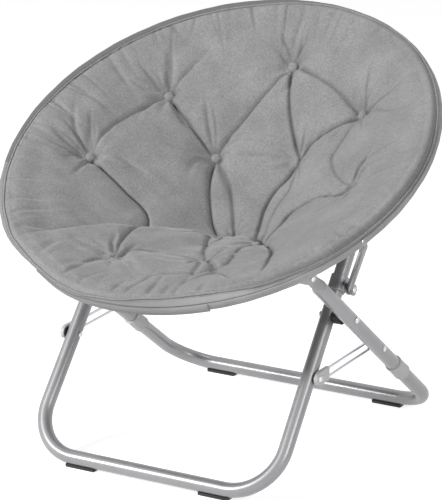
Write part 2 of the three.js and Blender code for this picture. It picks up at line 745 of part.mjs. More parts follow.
function turned(profile) {
  return new THREE.LatheGeometry(profile.map(([radius, along]) => new THREE.Vector2(radius, along)), 12)
    .rotateX(Math.PI / 2);
}

function button(tuft) {
  const bulge = 0.7;
  return tidy(seatInTuft(turned([
    [0, -buttonHeight / 2], [buttonRadius * bulge, -buttonHeight / 2], [buttonRadius, 0],
    [buttonRadius * bulge, (buttonHeight / 2) * bulge], [0, buttonHeight / 2],
  ]), tuft));
}

function well(tuft) {
  const [radius, floor, mouth] = [buttonRadius + runGap, -buttonHeight / 2 - fitGap, tuftDepth * 2];
  return tidy(seatInTuft(turned([[0, floor], [radius, floor], [radius, mouth], [0, mouth]]), tuft));
}

// Finishes
const finish = (color, roughness, metalness) => new THREE.MeshStandardMaterial({ color, roughness, metalness });
const paintedSteel = finish(0xa9abad, 0.35, 0.6);
const zinc = finish(0xd8dade, 0.3, 0.9);
const palePlastic = finish(0xdededc, 0.5, 0);
const blackRubber = finish(0x1c1c1d, 0.7, 0);
const velvet = finish(0xa3a3a3, 0.9, 0);
const rimCloth = finish(0x8f8f8f, 0.85, 0);

const chair = new THREE.Group();
const frontGroup = front.group();
const rearGroup = rear.group();
const hoopGroup = hoop.group();
chair.add(frontGroup, rearGroup, hoopGroup);

function add(group, name, geometry, material) {
  const mesh = new THREE.Mesh(geometry, material);
  mesh.name = name;
  group.add(mesh);
}

// A piece for each side: the right one as made, the left one mirrored
function addPair(group, name, geometry, material) {
  sides.forEach(([side, label]) => {
    add(group, `${name}_${label}`, side === right ? tidy(geometry) : mirrored(geometry), material);
  });
}

add(frontGroup, 'front_leg_frame', frontFrame(), paintedSteel);
addPair(frontGroup, 'pivot_spacer', spacer(), blackRubber);
addPair(frontGroup, 'pivot_rivet', crossRivet(), zinc);
addPair(frontGroup, 'clip_washer', washer(), blackRubber);
addPair(frontGroup, 'brace_clip', clip(), palePlastic);
addPair(frontGroup, 'clip_rivet', clipRivet(), zinc);
addPair(frontGroup, 'wire_brace', wireLoop(), zinc);
addPair(frontGroup, 'slide_sleeve', sleeve(), paintedSteel);
addPair(frontGroup, 'sleeve_rivet', sleeveRivet(), zinc);
addPair(frontGroup, 'strut', strut(), paintedSteel);

add(rearGroup, 'rear_base_tube', rearBase(), paintedSteel);
addPair(rearGroup, 'rear_arm', rearUpperArm(), paintedSteel);
addPair(rearGroup, 'ferrule', ferrule(), palePlastic);
addPair(rearGroup, 'brace_pin', bracePin(), zinc);

addPair(frontGroup, 'front_pad', frontPad(), blackRubber);
addPair(rearGroup, 'rear_pad', rearPad(), blackRubber);

add(hoopGroup, 'hoop_tube_front', hoopTube(frontArc(frontTubeAngle), -1), paintedSteel);
add(hoopGroup, 'hoop_tube_rear', hoopTube(rearArc(rearTubeAngle), 1), paintedSteel);
addPair(hoopGroup, 'hinge_rivet', hingeRivet(), zinc);
addPair(hoopGroup, 'front_bracket', bracket(frontBracketPivot, frontBracketX, -1, true), paintedSteel);
addPair(hoopGroup, 'bracket_rivet', bracketRivet(), zinc);
addPair(hoopGroup, 'rear_bracket', bracket(rearBracketPivot, rearBracketX, 1, false), paintedSteel);
addPair(hoopGroup, 'strut_lug', strutLug(), paintedSteel);
add(hoopGroup, 'rim_cover_front', cover(frontArc(hingeAngle - endTrim)), rimCloth);
add(hoopGroup, 'rim_cover_rear', cover(rearArc(hingeAngle + endTrim)), rimCloth);

const buttoned = Object.values(buttonTufts);
const dish = cut(cushion(), ...buttoned.map(well));
add(hoopGroup, 'cushion_front', cushionHalf(dish, 1), velvet);
add(hoopGroup, 'cushion_rear', cushionHalf(dish, -1), velvet);
buttoned.forEach((tuft, i) => {
  add(hoopGroup, `tuft_button_${i + 1}`, button(tuft), velvet);
});

export default chair;
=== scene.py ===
# Folding saucer chair: grey velvet dish in a hinged hoop, on two crossed frames of painted steel tube.
# Metres, +Z up, front edge of the seat towards -Y, origin on the floor under the middle of the chair.
import math

import bmesh
import bpy
import numpy as np
from mathutils import Matrix, Vector
from mathutils.bvhtree import BVHTree


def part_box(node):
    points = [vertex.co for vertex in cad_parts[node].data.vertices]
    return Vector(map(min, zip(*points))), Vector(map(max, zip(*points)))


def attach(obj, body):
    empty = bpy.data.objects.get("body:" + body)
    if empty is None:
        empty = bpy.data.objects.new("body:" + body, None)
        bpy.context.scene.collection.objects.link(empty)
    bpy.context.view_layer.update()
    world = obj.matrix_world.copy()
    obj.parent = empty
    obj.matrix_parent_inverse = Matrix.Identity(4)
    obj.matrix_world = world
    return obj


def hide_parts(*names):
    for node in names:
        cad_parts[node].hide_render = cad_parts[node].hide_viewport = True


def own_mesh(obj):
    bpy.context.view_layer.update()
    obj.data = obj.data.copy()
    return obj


MM = 0.001
scene = bpy.context.scene


# Camera: three quarter view from the chair's front, slightly above the seat's edge

def make_camera():
    azimuth, elevation = math.radians(30.17), math.radians(16.34)
    distance = 4.564
    target = Vector((-0.00093, -0.0044, 0.34908))
    level = math.cos(elevation)
    back = Vector((math.sin(azimuth) * level, -math.cos(azimuth) * level, math.sin(elevation)))
    side = Vector((math.cos(azimuth), math.sin(azimuth), 0))
    up = back.cross(side)
    turn = Matrix((side, up, back)).transposed()
    data = bpy.data.cameras.new("photo_camera")
    data.sensor_width = 36
    data.lens = 191.3
    data.shift_x = 0.0101
    data.shift_y = -0.0005
    data.clip_end = 60
    camera = bpy.data.objects.new("photo_camera", data)
    camera.matrix_world = Matrix.Translation(target + back * distance) @ turn.to_4x4()
    scene.collection.objects.link(camera)
    scene.camera = camera


make_camera()
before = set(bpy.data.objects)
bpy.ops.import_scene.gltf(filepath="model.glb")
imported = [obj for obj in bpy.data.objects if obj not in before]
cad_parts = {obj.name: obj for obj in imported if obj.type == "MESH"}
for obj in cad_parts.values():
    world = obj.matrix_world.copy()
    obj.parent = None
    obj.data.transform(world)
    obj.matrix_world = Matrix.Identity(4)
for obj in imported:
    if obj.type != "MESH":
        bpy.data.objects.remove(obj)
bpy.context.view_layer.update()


# Sizes in millimetres, as in the chair's own plan

HOOP_RADIUS = 375
HOOP_HEIGHT = 528.4
HOOP_TILT = 29.6
COVER_RADIUS = 14
HINGE_FORWARD = 115
LEG_TUBE = 12.7
BAR_HEIGHT = 16.6
FRONT_BAR_Y, FRONT_LEAN = -234.5, 51.44
FRONT_HALF, FRONT_TOP_HALF, FRONT_BEND, FRONT_ARM = 235.9, 223.3, 85, 785
REAR_BAR_Y, REAR_LEAN = 319.1, 36.62
REAR_HALF, REAR_TOP_HALF, REAR_BEND, REAR_ARM = 264.7, 275.2, 78, 620
FERRULE_START, FERRULE_LENGTH, FERRULE_WALL = 172, 46, 2.2
TONGUE_HALF_WIDTH, TONGUE_THICKNESS, TONGUE_LENGTH = 11, 5, 30
PRESS_START, PRESS_LENGTH = 14, 22
CUSHION_GAP = 0.8
CUSHION_RADIUS = HOOP_RADIUS - COVER_RADIUS - CUSHION_GAP
DISH_DEPTH, DISH_POWER, SIDE_LIFT = 222, 1.45, 0.45
EDGE_RISE, EDGE_DROP, PAD_DEPTH, QUILT_CROWN = 3, 9, 34, 22
RIM_ROLL = 12
SEAT_CROWN, SEAT_CROWN_FORWARD, SEAT_CROWN_REACH = 18, 190, 170


class Slope:
    """A sloping plane of the side view: across is X, along runs up the slope, off is square to it."""

    def __init__(self, y, z, angle):
        self.y, self.z = y, z
        self.cos, self.sin = math.cos(math.radians(angle)), math.sin(math.radians(angle))

    def point(self, x, along, off=0.0):
        y = self.y + along * self.cos - off * self.sin
        z = self.z + along * self.sin + off * self.cos
        return Vector((x, y, z)) * MM

    def points(self, places):
        x, along, off = np.asarray(places, float).T
        return np.stack([x, self.y + along * self.cos - off * self.sin,
                         self.z + along * self.sin + off * self.cos], 1) * MM

    def local(self, place):
        y, z = place.y / MM - self.y, place.z / MM - self.z
        return place.x / MM, y * self.cos + z * self.sin, z * self.cos - y * self.sin

    @property
    def normal(self):
        return Vector((0, -self.sin, self.cos))


FRONT = Slope(FRONT_BAR_Y, BAR_HEIGHT, FRONT_LEAN)
REAR = Slope(REAR_BAR_Y, BAR_HEIGHT, 180 - REAR_LEAN)
HOOP = Slope(0, HOOP_HEIGHT, HOOP_TILT)


def front_x(along):
    return FRONT_HALF + (FRONT_TOP_HALF - FRONT_HALF) * along / FRONT_ARM


def rear_x(along):
    return REAR_HALF + (REAR_TOP_HALF - REAR_HALF) * along / REAR_ARM


PULL_DEPTH, PULL_PLACE, PULL_WIDTH = 9, -119, 11


def hoop_pull(angle):
    """How far the rim is drawn in, left of the front edge, where its cloth runs straight."""
    apart = (angle - math.radians(PULL_PLACE) + math.pi) % (2 * math.pi) - math.pi
    return PULL_DEPTH * math.exp(-(apart / math.radians(PULL_WIDTH)) ** 2)


SLEEVE_PLACE, SLEEVE_LENGTH, SLEEVE_WALL, SLEEVE_PIN_DROP = 388, 28, 2.4, 17
SLEEVE_PIN = FRONT.point(0, SLEEVE_PLACE, -SLEEVE_PIN_DROP) / MM
CLIP_PLACE, BRACE_FAR_PLACE, WIRE_RADIUS, LOOP_RADIUS = 218, 295, 2.4, 7.5


# Materials

def linear(code):
    """A colour code as the linear red, green, blue and alpha that the shaders take."""
    parts = [int(code[i:i + 2], 16) / 255 for i in (1, 3, 5)]
    return tuple(c / 12.92 if c <= 0.04045 else ((c + 0.055) / 1.055) ** 2.4 for c in parts) + (1.0,)


# The Mix node repeats its sockets' names for each data type, so its colour sockets go by number
FACTOR, COLOUR_A, COLOUR_B, COLOUR_OUT = 0, 6, 7, 2


def add(tree, kind, links=None, stops=(), **settings):
    """One shader or geometry node, with its settings, what feeds its sockets, and a colour ramp's stops."""
    made = tree.nodes.new(kind)
    for key, value in settings.items():
        setattr(made, key, value)
    for key, value in (links or {}).items():
        if isinstance(value, bpy.types.NodeSocket):
            tree.links.new(value, made.inputs[key])
        else:
            made.inputs[key].default_value = value
    if stops:
        elements = made.color_ramp.elements
        while len(elements) < len(stops):
            elements.new(0.5)
        for element, (place, code) in zip(elements, stops):
            element.position = place
            element.color = linear(code)
    return made


def blank_material(name):
    material = bpy.data.materials.new(name)
    material.use_nodes = True
    material.node_tree.nodes.clear()
    return material, material.node_tree


def per_mm(size):
    """Pattern scale, in cells to the metre, for a detail of that many millimetres."""
    return 1 / (size * MM)


# The wave texture draws this many bands to the unit at a scale of 1
BANDS_PER_UNIT = 20 / (2 * math.pi)


def velvet_material():
    # Crushed polyester velvet, a cut pile 1 to 2 mm long: soft, no gloss, edges that catch light, cloudy
    # patches where the pile leans another way, and painted shade: darker at tufts, creases and the seat's
    # seam.
    # The pile's grain is drawn 3.2 mm coarse so that it shows.
    material, tree = blank_material("polyester_velvet")
    place = add(tree, "ShaderNodeTexCoord").outputs["Object"]
    cloud = add(tree, "ShaderNodeTexNoise", {
        "Vector": place, "Scale": per_mm(70), "Detail": 4.0, "Roughness": 0.6})
    grain = add(tree, "ShaderNodeTexNoise", {
        "Vector": place, "Scale": per_mm(3.2), "Detail": 3.0, "Roughness": 0.75})
    nap = add(tree, "ShaderNodeTexNoise", {
        "Vector": place, "Scale": per_mm(14), "Detail": 3.0, "Roughness": 0.6})
    tone = add(tree, "ShaderNodeValToRGB", {"Fac": cloud.outputs["Fac"]},
               [(0.3, "#a2a2a2"), (0.5, "#ababab"), (0.72, "#b5b5b5")])
    fleck = add(tree, "ShaderNodeValToRGB", {"Fac": grain.outputs["Fac"]},
                [(0.32, "#585858"), (0.68, "#b2b2b2")])
    flecked = add(tree, "ShaderNodeMix", {
        FACTOR: 0.45, COLOUR_A: tone.outputs["Color"], COLOUR_B: fleck.outputs["Color"]},
        data_type="RGBA", blend_type="OVERLAY")
    # Painted shade: the colour is mixed up to 0.75 of the way to #4a4a4a by a point attribute of the cushion
    painted_shade = add(tree, "ShaderNodeAttribute", attribute_name="painted_shade")
    shade = add(tree, "ShaderNodeMath", {0: painted_shade.outputs["Fac"], 1: 0.75}, operation="MULTIPLY")
    shaded = add(tree, "ShaderNodeMix", {
        FACTOR: shade.outputs[0], COLOUR_A: flecked.outputs[COLOUR_OUT], COLOUR_B: linear("#4a4a4a")},
        data_type="RGBA")
    soft = add(tree, "ShaderNodeBump", {
        "Strength": 0.25, "Distance": 1.0 * MM, "Height": nap.outputs["Fac"]})
    bump = add(tree, "ShaderNodeBump", {
        "Strength": 0.5, "Distance": 0.5 * MM, "Height": grain.outputs["Fac"],
        "Normal": soft.outputs["Normal"]})
    shader = add(tree, "ShaderNodeBsdfPrincipled", {
        "Base Color": shaded.outputs[COLOUR_OUT], "Roughness": 0.95, "Specular IOR Level": 0.15,
        "Normal": bump.outputs["Normal"], "Sheen Weight": 0.45, "Sheen Roughness": 0.4,
        "Sheen Tint": linear("#e4e4e4")})
    add(tree, "ShaderNodeOutputMaterial", {"Surface": shader.outputs[0]})
    return material


def rim_cloth_material(name, painted_shade_tone):
    # Brushed woven polyester sewn round the hoop: flatter than the velvet, faint cross weave. Painted shade:
    # towards the left of the chair its colour is mixed with a darker given tone.
    # The weave is drawn 10 mm apart, far coarser than its threads, so that it shows.
    material, tree = blank_material(name)
    place = add(tree, "ShaderNodeTexCoord").outputs["Object"]
    cloud = add(tree, "ShaderNodeTexNoise", {"Vector": place, "Scale": per_mm(40), "Detail": 4.0})
    warp, weft = (add(tree, "ShaderNodeTexWave", {
        "Vector": place, "Scale": per_mm(10.053) / BANDS_PER_UNIT, "Distortion": 1.0, "Detail": 2.0},
        bands_direction=direction) for direction in ("X", "Z"))
    both = add(tree, "ShaderNodeMath", {0: warp.outputs["Fac"], 1: weft.outputs["Fac"]}, operation="ADD")
    tone = add(tree, "ShaderNodeValToRGB", {"Fac": cloud.outputs["Fac"]},
               [(0.3, "#b2b2b2"), (0.7, "#c3c3c3")])
    # Painted shade: where X is below 0.26 m, on the chair's left, the colour goes up to 0.85 of the way to
    # the dark tone
    across = add(tree, "ShaderNodeSeparateXYZ", {0: place})
    painted_shade_share = add(tree, "ShaderNodeMapRange", {
        "Value": across.outputs["X"], "From Min": 0.05, "From Max": 0.26, "To Min": 0.85, "To Max": 0.0})
    mixed = add(tree, "ShaderNodeMix", {
        FACTOR: painted_shade_share.outputs["Result"], COLOUR_A: tone.outputs["Color"], COLOUR_B: linear(painted_shade_tone)},
        data_type="RGBA")
    bump = add(tree, "ShaderNodeBump", {"Strength": 0.35, "Distance": 0.3 * MM, "Height": both.outputs[0]})
    shader = add(tree, "ShaderNodeBsdfPrincipled", {
        "Base Color": mixed.outputs[COLOUR_OUT], "Roughness": 0.9, "Specular IOR Level": 0.2,
        "Normal": bump.outputs["Normal"], "Sheen Weight": 0.2, "Sheen Roughness": 0.5})
    add(tree, "ShaderNodeOutputMaterial", {"Surface": shader.outputs[0]})
    return material


def thread_material():
    # Twisted polyester sewing thread: dull, close in tone to the cloth that it crosses.
    material, tree = blank_material("polyester_thread")
    place = add(tree, "ShaderNodeTexCoord").outputs["Object"]
    twist = add(tree, "ShaderNodeTexNoise", {"Vector": place, "Scale": per_mm(2), "Detail": 2.0})
    tone = add(tree, "ShaderNodeValToRGB", {"Fac": twist.outputs["Fac"]},
               [(0.35, "#8d8d8d"), (0.65, "#a6a6a6")])
    shader = add(tree, "ShaderNodeBsdfPrincipled", {"Base Color": tone.outputs["Color"], "Roughness": 0.7})
    add(tree, "ShaderNodeOutputMaterial", {"Surface": shader.outputs[0]})
    return material


def hard_material(name, tones, rough, relief, grain, wear=None, finish=None):
    """A hard surface: tones and roughness vary with its wear, or else with its grain, which is in relief."""
    material, tree = blank_material(name)
    place = add(tree, "ShaderNodeTexCoord").outputs["Object"]
    fine = add(tree, "ShaderNodeTexNoise", {"Vector": place, **grain}).outputs["Fac"]
    broad = add(tree, "ShaderNodeTexNoise", {"Vector": place, **wear}).outputs["Fac"] if wear else fine
    tone = add(tree, "ShaderNodeValToRGB", {"Fac": broad}, list(zip((0.3, 0.7), tones)))
    gloss = add(tree, "ShaderNodeMapRange", {"Value": broad, "To Min": rough[0], "To Max": rough[1]})
    bump = add(tree, "ShaderNodeBump", {"Strength": relief[0], "Distance": relief[1] * MM, "Height": fine})
    shader = add(tree, "ShaderNodeBsdfPrincipled", {
        "Base Color": tone.outputs["Color"], "Roughness": gloss.outputs["Result"],
        "Normal": bump.outputs["Normal"], **(finish or {})})
    add(tree, "ShaderNodeOutputMaterial", {"Surface": shader.outputs[0]})
    return material


VELVET = velvet_material()
# The front half's rim cloth, and the rear half's with a deeper painted shade on the left
RIM_CLOTH = rim_cloth_material("brushed_polyester_weave", "#8e8e8e")
SHADED_RIM_CLOTH = rim_cloth_material("brushed_polyester_weave_shaded", "#686868")
THREAD = thread_material()
# Silver grey powder coat on steel tube: even colour, soft gloss, a faint orange peel 1.5 mm across
PAINT = hard_material(
    "silver_powder_coat", ("#9b9b9d", "#a6a6a8"), (0.3, 0.4), (0.12, 0.12),
    {"Scale": per_mm(1.5), "Detail": 2.0}, {"Scale": per_mm(55), "Detail": 5.0, "Roughness": 0.65},
    {"Metallic": 0.45, "Coat Weight": 0.18, "Coat Roughness": 0.2})
# Bright zinc plating on drawn wire and rivets: a clear metal with fine drawing marks 0.8 mm apart
ZINC = hard_material(
    "bright_zinc_plate", ("#c9cbcf", "#dcdde0"), (0.2, 0.34), (0.1, 0.05),
    {"Scale": per_mm(0.8), "Detail": 3.0}, finish={"Metallic": 1.0})
# Moulded polypropylene with a fine spark-eroded grain: dull, slightly uneven in gloss
PALE_PLASTIC = hard_material(
    "pale_polypropylene", ("#d4d4d4", "#e4e4e4"), (0.38, 0.52), (0.2, 0.1),
    {"Scale": per_mm(1.0), "Detail": 3.0})
BLACK_PLASTIC = hard_material(
    "black_polypropylene", ("#1b1b1c", "#262627"), (0.48, 0.62), (0.2, 0.1),
    {"Scale": per_mm(1.2), "Detail": 3.0})


# Mesh helpers

def new_object(name, vertices, faces, material, smooth=True):
    mesh = bpy.data.meshes.new(name)
    mesh.from_pydata([tuple(v) for v in vertices], [], [tuple(f) for f in faces])
    mesh.validate()
    mesh.materials.append(material)
    if smooth:
        mesh.shade_smooth()
    piece = bpy.data.objects.new(name, mesh)
    scene.collection.objects.link(piece)
    return piece


def outward(piece):
    work = bmesh.new()
    work.from_mesh(piece.data)
    bmesh.ops.recalc_face_normals(work, faces=work.faces)
    work.to_mesh(piece.data)
    work.free()
    return piece


def sharpen(piece, degrees):
    """Smooth faces with crisp edges where they meet at more than that angle."""
    piece.data.shade_smooth()
    piece.data.set_sharp_from_angle(angle=math.radians(degrees))
    return piece


def bake_modifiers(piece):
    """Works the piece's modifiers into its mesh."""
    bpy.context.view_layer.update()
    seen = piece.evaluated_get(bpy.context.evaluated_depsgraph_get())
    mesh = bpy.data.meshes.new_from_object(seen)
    piece.modifiers.clear()
    piece.data = mesh


def tube_mesh(name, vertices, around, material, degrees, joined=False):
    """A skin over rings of that many places, capped at both ends or joined end to end."""
    rings = len(vertices) // around
    faces = []
    for ring in range(rings if joined else rings - 1):
        low, high = ring * around, (ring + 1) % rings * around
        for k in range(around):
            n = (k + 1) % around
            faces.append((low + k, low + n, high + n, high + k))
    if not joined:
        faces.append(tuple(range(around)))
        faces.append(tuple(range(len(vertices) - around, len(vertices))))
    return sharpen(outward(new_object(name, vertices, faces, material)), degrees)


def loft(name, sections, material, sides=40):
    """A tube through sections: centre, two cross axes, the two half widths and how square it is."""
    angles = np.linspace(0, 2 * math.pi, sides, endpoint=False)
    cos, sin = np.cos(angles), np.sin(angles)
    vertices = []
    for centre, axis_a, axis_b, half_a, half_b, square in sections:
        a = np.sign(cos) * np.abs(cos) ** square * half_a
        b = np.sign(sin) * np.abs(sin) ** square * half_b
        vertices += [centre + (axis_a * p + axis_b * q) * MM for p, q in zip(a, b)]
    return tube_mesh(name, vertices, sides, material, 45)


def dress(piece, body, nodes=(), slot=None):
    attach(piece, body)
    if nodes:
        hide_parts(*nodes)
    return piece


# Leg frames of bent tube, their ends pressed flat for the brackets

def arm_path(half, top_half, arm, bend, upto, steps=20):
    """The right half of a frame's tube: round the lower bend, then up to a place on the arm."""
    slant = (top_half - half) / arm
    centre = half + slant * bend - bend * math.hypot(1, slant)
    places = []
    for i in range(steps + 1):
        angle = -math.pi / 2 + (math.pi / 2 - math.atan(slant)) * i / steps
        places.append((centre + bend * math.cos(angle), bend + bend * math.sin(angle)))
    for along in np.linspace(places[-1][1], upto, 12)[1:]:
        places.append((half + slant * along, along))
    return places


def tube_sections(slope, places, radius=LEG_TUBE):
    """Round sections along a path in a slope's plane."""
    sections = []
    off = slope.normal
    for i, (x, along) in enumerate(places):
        before, after = places[max(i - 1, 0)], places[min(i + 1, len(places) - 1)]
        run = (slope.point(*after) - slope.point(*before)).normalized()
        sections.append((slope.point(x, along), run.cross(off), off, radius, radius, 1.0))
    return sections


FLAT_SQUARENESS, TONGUE_SHOULDER, PRESS_SPREAD = 0.45, 10, 1.04


def eased(share):
    """A share from 0 to 1 that starts and ends gently."""
    return share * share * (3 - 2 * share)


def flat_sections(slope, x_at, arm):
    """The pressed end: a quick change from round to flat, then a flat tongue with a round tip."""
    sections = []
    across, off = Vector((1, 0, 0)), slope.normal
    half_thick = TONGUE_THICKNESS / 2
    spread = LEG_TUBE * PRESS_SPREAD
    for share in np.linspace(0.08, 1, 9):
        ease = eased(share)
        along = arm - TONGUE_LENGTH - PRESS_START + PRESS_LENGTH * share
        wide = spread + (TONGUE_HALF_WIDTH - spread) * ease
        thick = LEG_TUBE + (half_thick - LEG_TUBE) * ease
        square = 1 - (1 - FLAT_SQUARENESS) * ease
        sections.append((slope.point(x_at(along), along), across, off, thick, wide, square))
    shoulder = arm - TONGUE_LENGTH + TONGUE_SHOULDER
    flat = [(along, TONGUE_HALF_WIDTH) for along in np.linspace(shoulder, arm, 4)]
    flat += [(arm + TONGUE_HALF_WIDTH * math.sin(angle), TONGUE_HALF_WIDTH * math.cos(angle))
             for angle in np.radians([20, 40, 55, 68, 78])]
    for along, wide in flat:
        sections.append((slope.point(x_at(along), along), across, off, half_thick, wide, FLAT_SQUARENESS))
    return sections


def aligned(sections, across_sign):
    """Turns a flat end's cross axes so that its rings follow on from a tube's without a twist."""
    return [(c, a * across_sign, b, p, q, s) for c, a, b, p, q, s in sections]


def make_front_frame():
    body_end = FRONT_ARM - TONGUE_LENGTH - PRESS_START
    right = arm_path(FRONT_HALF, FRONT_TOP_HALF, FRONT_ARM, FRONT_BEND, body_end)
    left = [(-x, along) for x, along in reversed(right)]
    middle = tube_sections(FRONT, left + right)
    tip = flat_sections(FRONT, front_x, FRONT_ARM)
    other = flat_sections(FRONT, lambda along: -front_x(along), FRONT_ARM)
    start_sign = 1 if middle[0][1].x > 0 else -1
    end_sign = 1 if middle[-1][1].x > 0 else -1
    sections = list(reversed(aligned(other, start_sign))) + middle + aligned(tip, end_sign)
    dress(loft("front_leg_tube", sections, PAINT), "front_frame", ["front_leg_frame"], "painted_steel")


JOINT_GAP, FERRULE_SLACK = 0.3, 0.3
# The lip at each end of a collar: the distance from its end, and the change to its radius there
FERRULE_LIP = [(0, -1.6), (0.6, -0.6), (1.6, 0), (4, 0), (5, -0.5), (6, -0.5)]


def make_rear_frame():
    joint = FERRULE_START + FERRULE_LENGTH / 2
    right = arm_path(REAR_HALF, REAR_TOP_HALF, REAR_ARM, REAR_BEND, joint)
    left = [(-x, along) for x, along in reversed(right)]
    base = loft("rear_leg_tube", tube_sections(REAR, left + right), PAINT)
    dress(base, "rear_frame", ["rear_base_tube"], "painted_steel")
    for side, label in ((1, "right"), (-1, "left")):
        def x_at(along, side=side):
            return side * rear_x(along)
        body_end = REAR_ARM - TONGUE_LENGTH - PRESS_START
        body = [(x_at(along), along) for along in np.linspace(joint + JOINT_GAP, body_end, 8)]
        sections = tube_sections(REAR, body)
        sign = 1 if sections[-1][1].x > 0 else -1
        sections += aligned(flat_sections(REAR, x_at, REAR_ARM), sign)
        arm = loft(f"rear_arm_tube_{label}", sections, PAINT)
        dress(arm, "rear_frame", [f"rear_arm_{label}"], "painted_steel")
        make_ferrule(x_at, label)


def make_ferrule(x_at, label):
    """A plastic collar over the tube joint, with a rolled lip at each end."""
    sections = []
    outer = LEG_TUBE + FERRULE_WALL + FERRULE_SLACK
    ends = [(FERRULE_START + inset, change) for inset, change in FERRULE_LIP]
    ends += [(FERRULE_START + FERRULE_LENGTH - inset, change) for inset, change in reversed(FERRULE_LIP)]
    for along, change in ends:
        around = [(x_at(along + step), along + step) for step in (-1, 0, 1)]
        sections.append(tube_sections(REAR, around, outer + change)[1])
    collar = loft(f"tube_collar_{label}", sections, PALE_PLASTIC)
    dress(collar, "rear_frame", [f"ferrule_{label}"], "pale_plastic")


# Struts: thin round bars with flat ends, from the sliding sleeves to the hoop

STRUT_RADIUS, STRUT_TONGUE_HALF, STRUT_TONGUE = 6.5, 7, 15
STRUT_FOOT_X, STRUT_TOP_X, STRUT_TOP_ALONG, STRUT_TOP_DROP = 248.27, 337.6, -150, -24
STRUT_SIDES = 28


def strut_end(spot, across, off, inwards, along):
    """Sections from a strut's flat rounded tip to where its bar is fully round, along from the pin."""
    sections = []
    half_thick = TONGUE_THICKNESS / 2
    square, flat_share = 0.5, 0.4
    for angle in np.radians([80, 62, 42, 20, 0]):
        sections.append((spot(-STRUT_TONGUE_HALF * math.sin(angle), 0), across, off, half_thick,
                         STRUT_TONGUE_HALF * math.cos(angle), square))
    for share in np.linspace(0, 1, 8)[1:]:
        ease = eased(share)
        thick = half_thick + (STRUT_RADIUS - half_thick) * ease
        wide = STRUT_TONGUE_HALF + (STRUT_RADIUS - STRUT_TONGUE_HALF) * ease
        centre = spot(along * (flat_share + (1 - flat_share) * share), (thick - half_thick) * inwards)
        sections.append((centre, across, off, thick, wide, square + (1 - square) * ease))
    return sections


def make_struts():
    foot, top = SLEEVE_PIN, HOOP.point(0, STRUT_TOP_ALONG, STRUT_TOP_DROP) / MM
    up = (top - foot).normalized()
    across = Vector((1, 0, 0))
    off = up.cross(across)
    for side, label in ((1, "right"), (-1, "left")):
        def low(distance, shift, side=side):
            return (Vector((side * (STRUT_FOOT_X + shift), foot.y, foot.z)) + up * distance) * MM

        def high(distance, shift, side=side):
            return (Vector((side * (STRUT_TOP_X + shift), top.y, top.z)) - up * distance) * MM
        sections = strut_end(low, across, off, 1, STRUT_TONGUE)
        sections += reversed(strut_end(high, across, off, -1, STRUT_TONGUE))
        bar = loft(f"strut_bar_{label}", sections, PAINT, STRUT_SIDES)
        dress(bar, f"strut_{label}", [f"strut_{label}"], "painted_steel")


# Wire braces: closed loops of plated wire

def make_wire_braces():
    start, far = FRONT.point(0, CLIP_PLACE).yz / MM, REAR.point(0, BRACE_FAR_PLACE).yz / MM
    run = (far - start).normalized()
    square = Vector((-run.y, run.x))
    low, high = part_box("wire_brace_right")
    plane_x = (low.x + high.x) / 2 / MM
    bend_steps, sides = 12, 14
    for side, label in ((1, "right"), (-1, "left")):
        centre_line = []
        for middle, turn in ((far, -math.pi / 2), (start, math.pi / 2)):
            for step in range(bend_steps + 1):
                angle = turn + math.pi * step / bend_steps
                spoke = run * math.cos(angle) + square * math.sin(angle)
                centre_line.append(middle + spoke * LOOP_RADIUS)
        rings = []
        total = len(centre_line)
        for i, point in enumerate(centre_line):
            ahead = (centre_line[(i + 1) % total] - centre_line[i - 1]).normalized()
            outwards = Vector((ahead.y, -ahead.x))
            for j in range(sides):
                angle = 2 * math.pi * j / sides
                radial = outwards * WIRE_RADIUS * math.cos(angle)
                rings.append(Vector((side * (plane_x + WIRE_RADIUS * math.sin(angle)), point.x + radial.x,
                                     point.y + radial.y)) * MM)
        wire = tube_mesh(f"brace_wire_{label}", rings, sides, ZINC, 45, joined=True)
        dress(wire, f"wire_brace_{label}", [f"wire_brace_{label}"], "zinc")


# Fittings: copies of the solids with broken edges, and rivets, spacers and sleeve bands turned anew

MERGE_DISTANCE = 0.02


def fitted_copy(node, body, material, slot, bevel):
    """A copy of a solid with broken edges, which takes its place."""
    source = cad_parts[node]
    work = bmesh.new()
    work.from_mesh(source.data)
    bmesh.ops.remove_doubles(work, verts=work.verts, dist=MERGE_DISTANCE * MM)
    bmesh.ops.dissolve_limit(work, angle_limit=math.radians(1), verts=work.verts, edges=work.edges)
    mesh = bpy.data.meshes.new(f"{node}_finished")
    work.to_mesh(mesh)
    work.free()
    mesh.materials.append(material)
    piece = bpy.data.objects.new(f"{node}_finished", mesh)
    scene.collection.objects.link(piece)
    if bevel:
        edge = piece.modifiers.new("edge", "BEVEL")
        edge.width = bevel * MM
        edge.segments = 2
        edge.limit_method = "ANGLE"
        edge.angle_limit = math.radians(40)
        edge.use_clamp_overlap = True
        bake_modifiers(piece)
    sharpen(piece, 35)
    return dress(piece, body, [node], slot)


def lathe_along_x(name, profile, centre, material, around=32):
    """A turned piece on an axis along X: places along it with their radii, closed at both ends."""
    vertices = []
    for x, radius in profile:
        for k in range(around):
            angle = 2 * math.pi * k / around
            vertices.append(Vector((x, centre.y / MM + radius * math.cos(angle),
                                    centre.z / MM + radius * math.sin(angle))) * MM)
    return tube_mesh(name, vertices, around, material, 40)


def node_span(node):
    low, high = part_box(node)
    return low.x / MM, high.x / MM, (low + high) / 2, (high.y - low.y) / 2 / MM


# A rivet's head, as shares of its height and of its radius
DOME_SHARES = [(0, 0.12), (0.08, 0.4), (0.3, 0.72), (0.62, 0.93), (1, 1)]


def round_rivet(node, body, shank, dome):
    """A rivet with a rounded head at each end, on the place of its solid."""
    start, end, centre, head = node_span(node)
    left_head = [(start + dome * share, head * radius) for share, radius in DOME_SHARES]
    right_head = [(end - dome * share, head * radius) for share, radius in reversed(DOME_SHARES)]
    profile = left_head + [(start + dome, shank), (end - dome, shank)] + right_head
    dress(lathe_along_x(f"{node}_finished", profile, centre, ZINC), body, [node], "zinc")


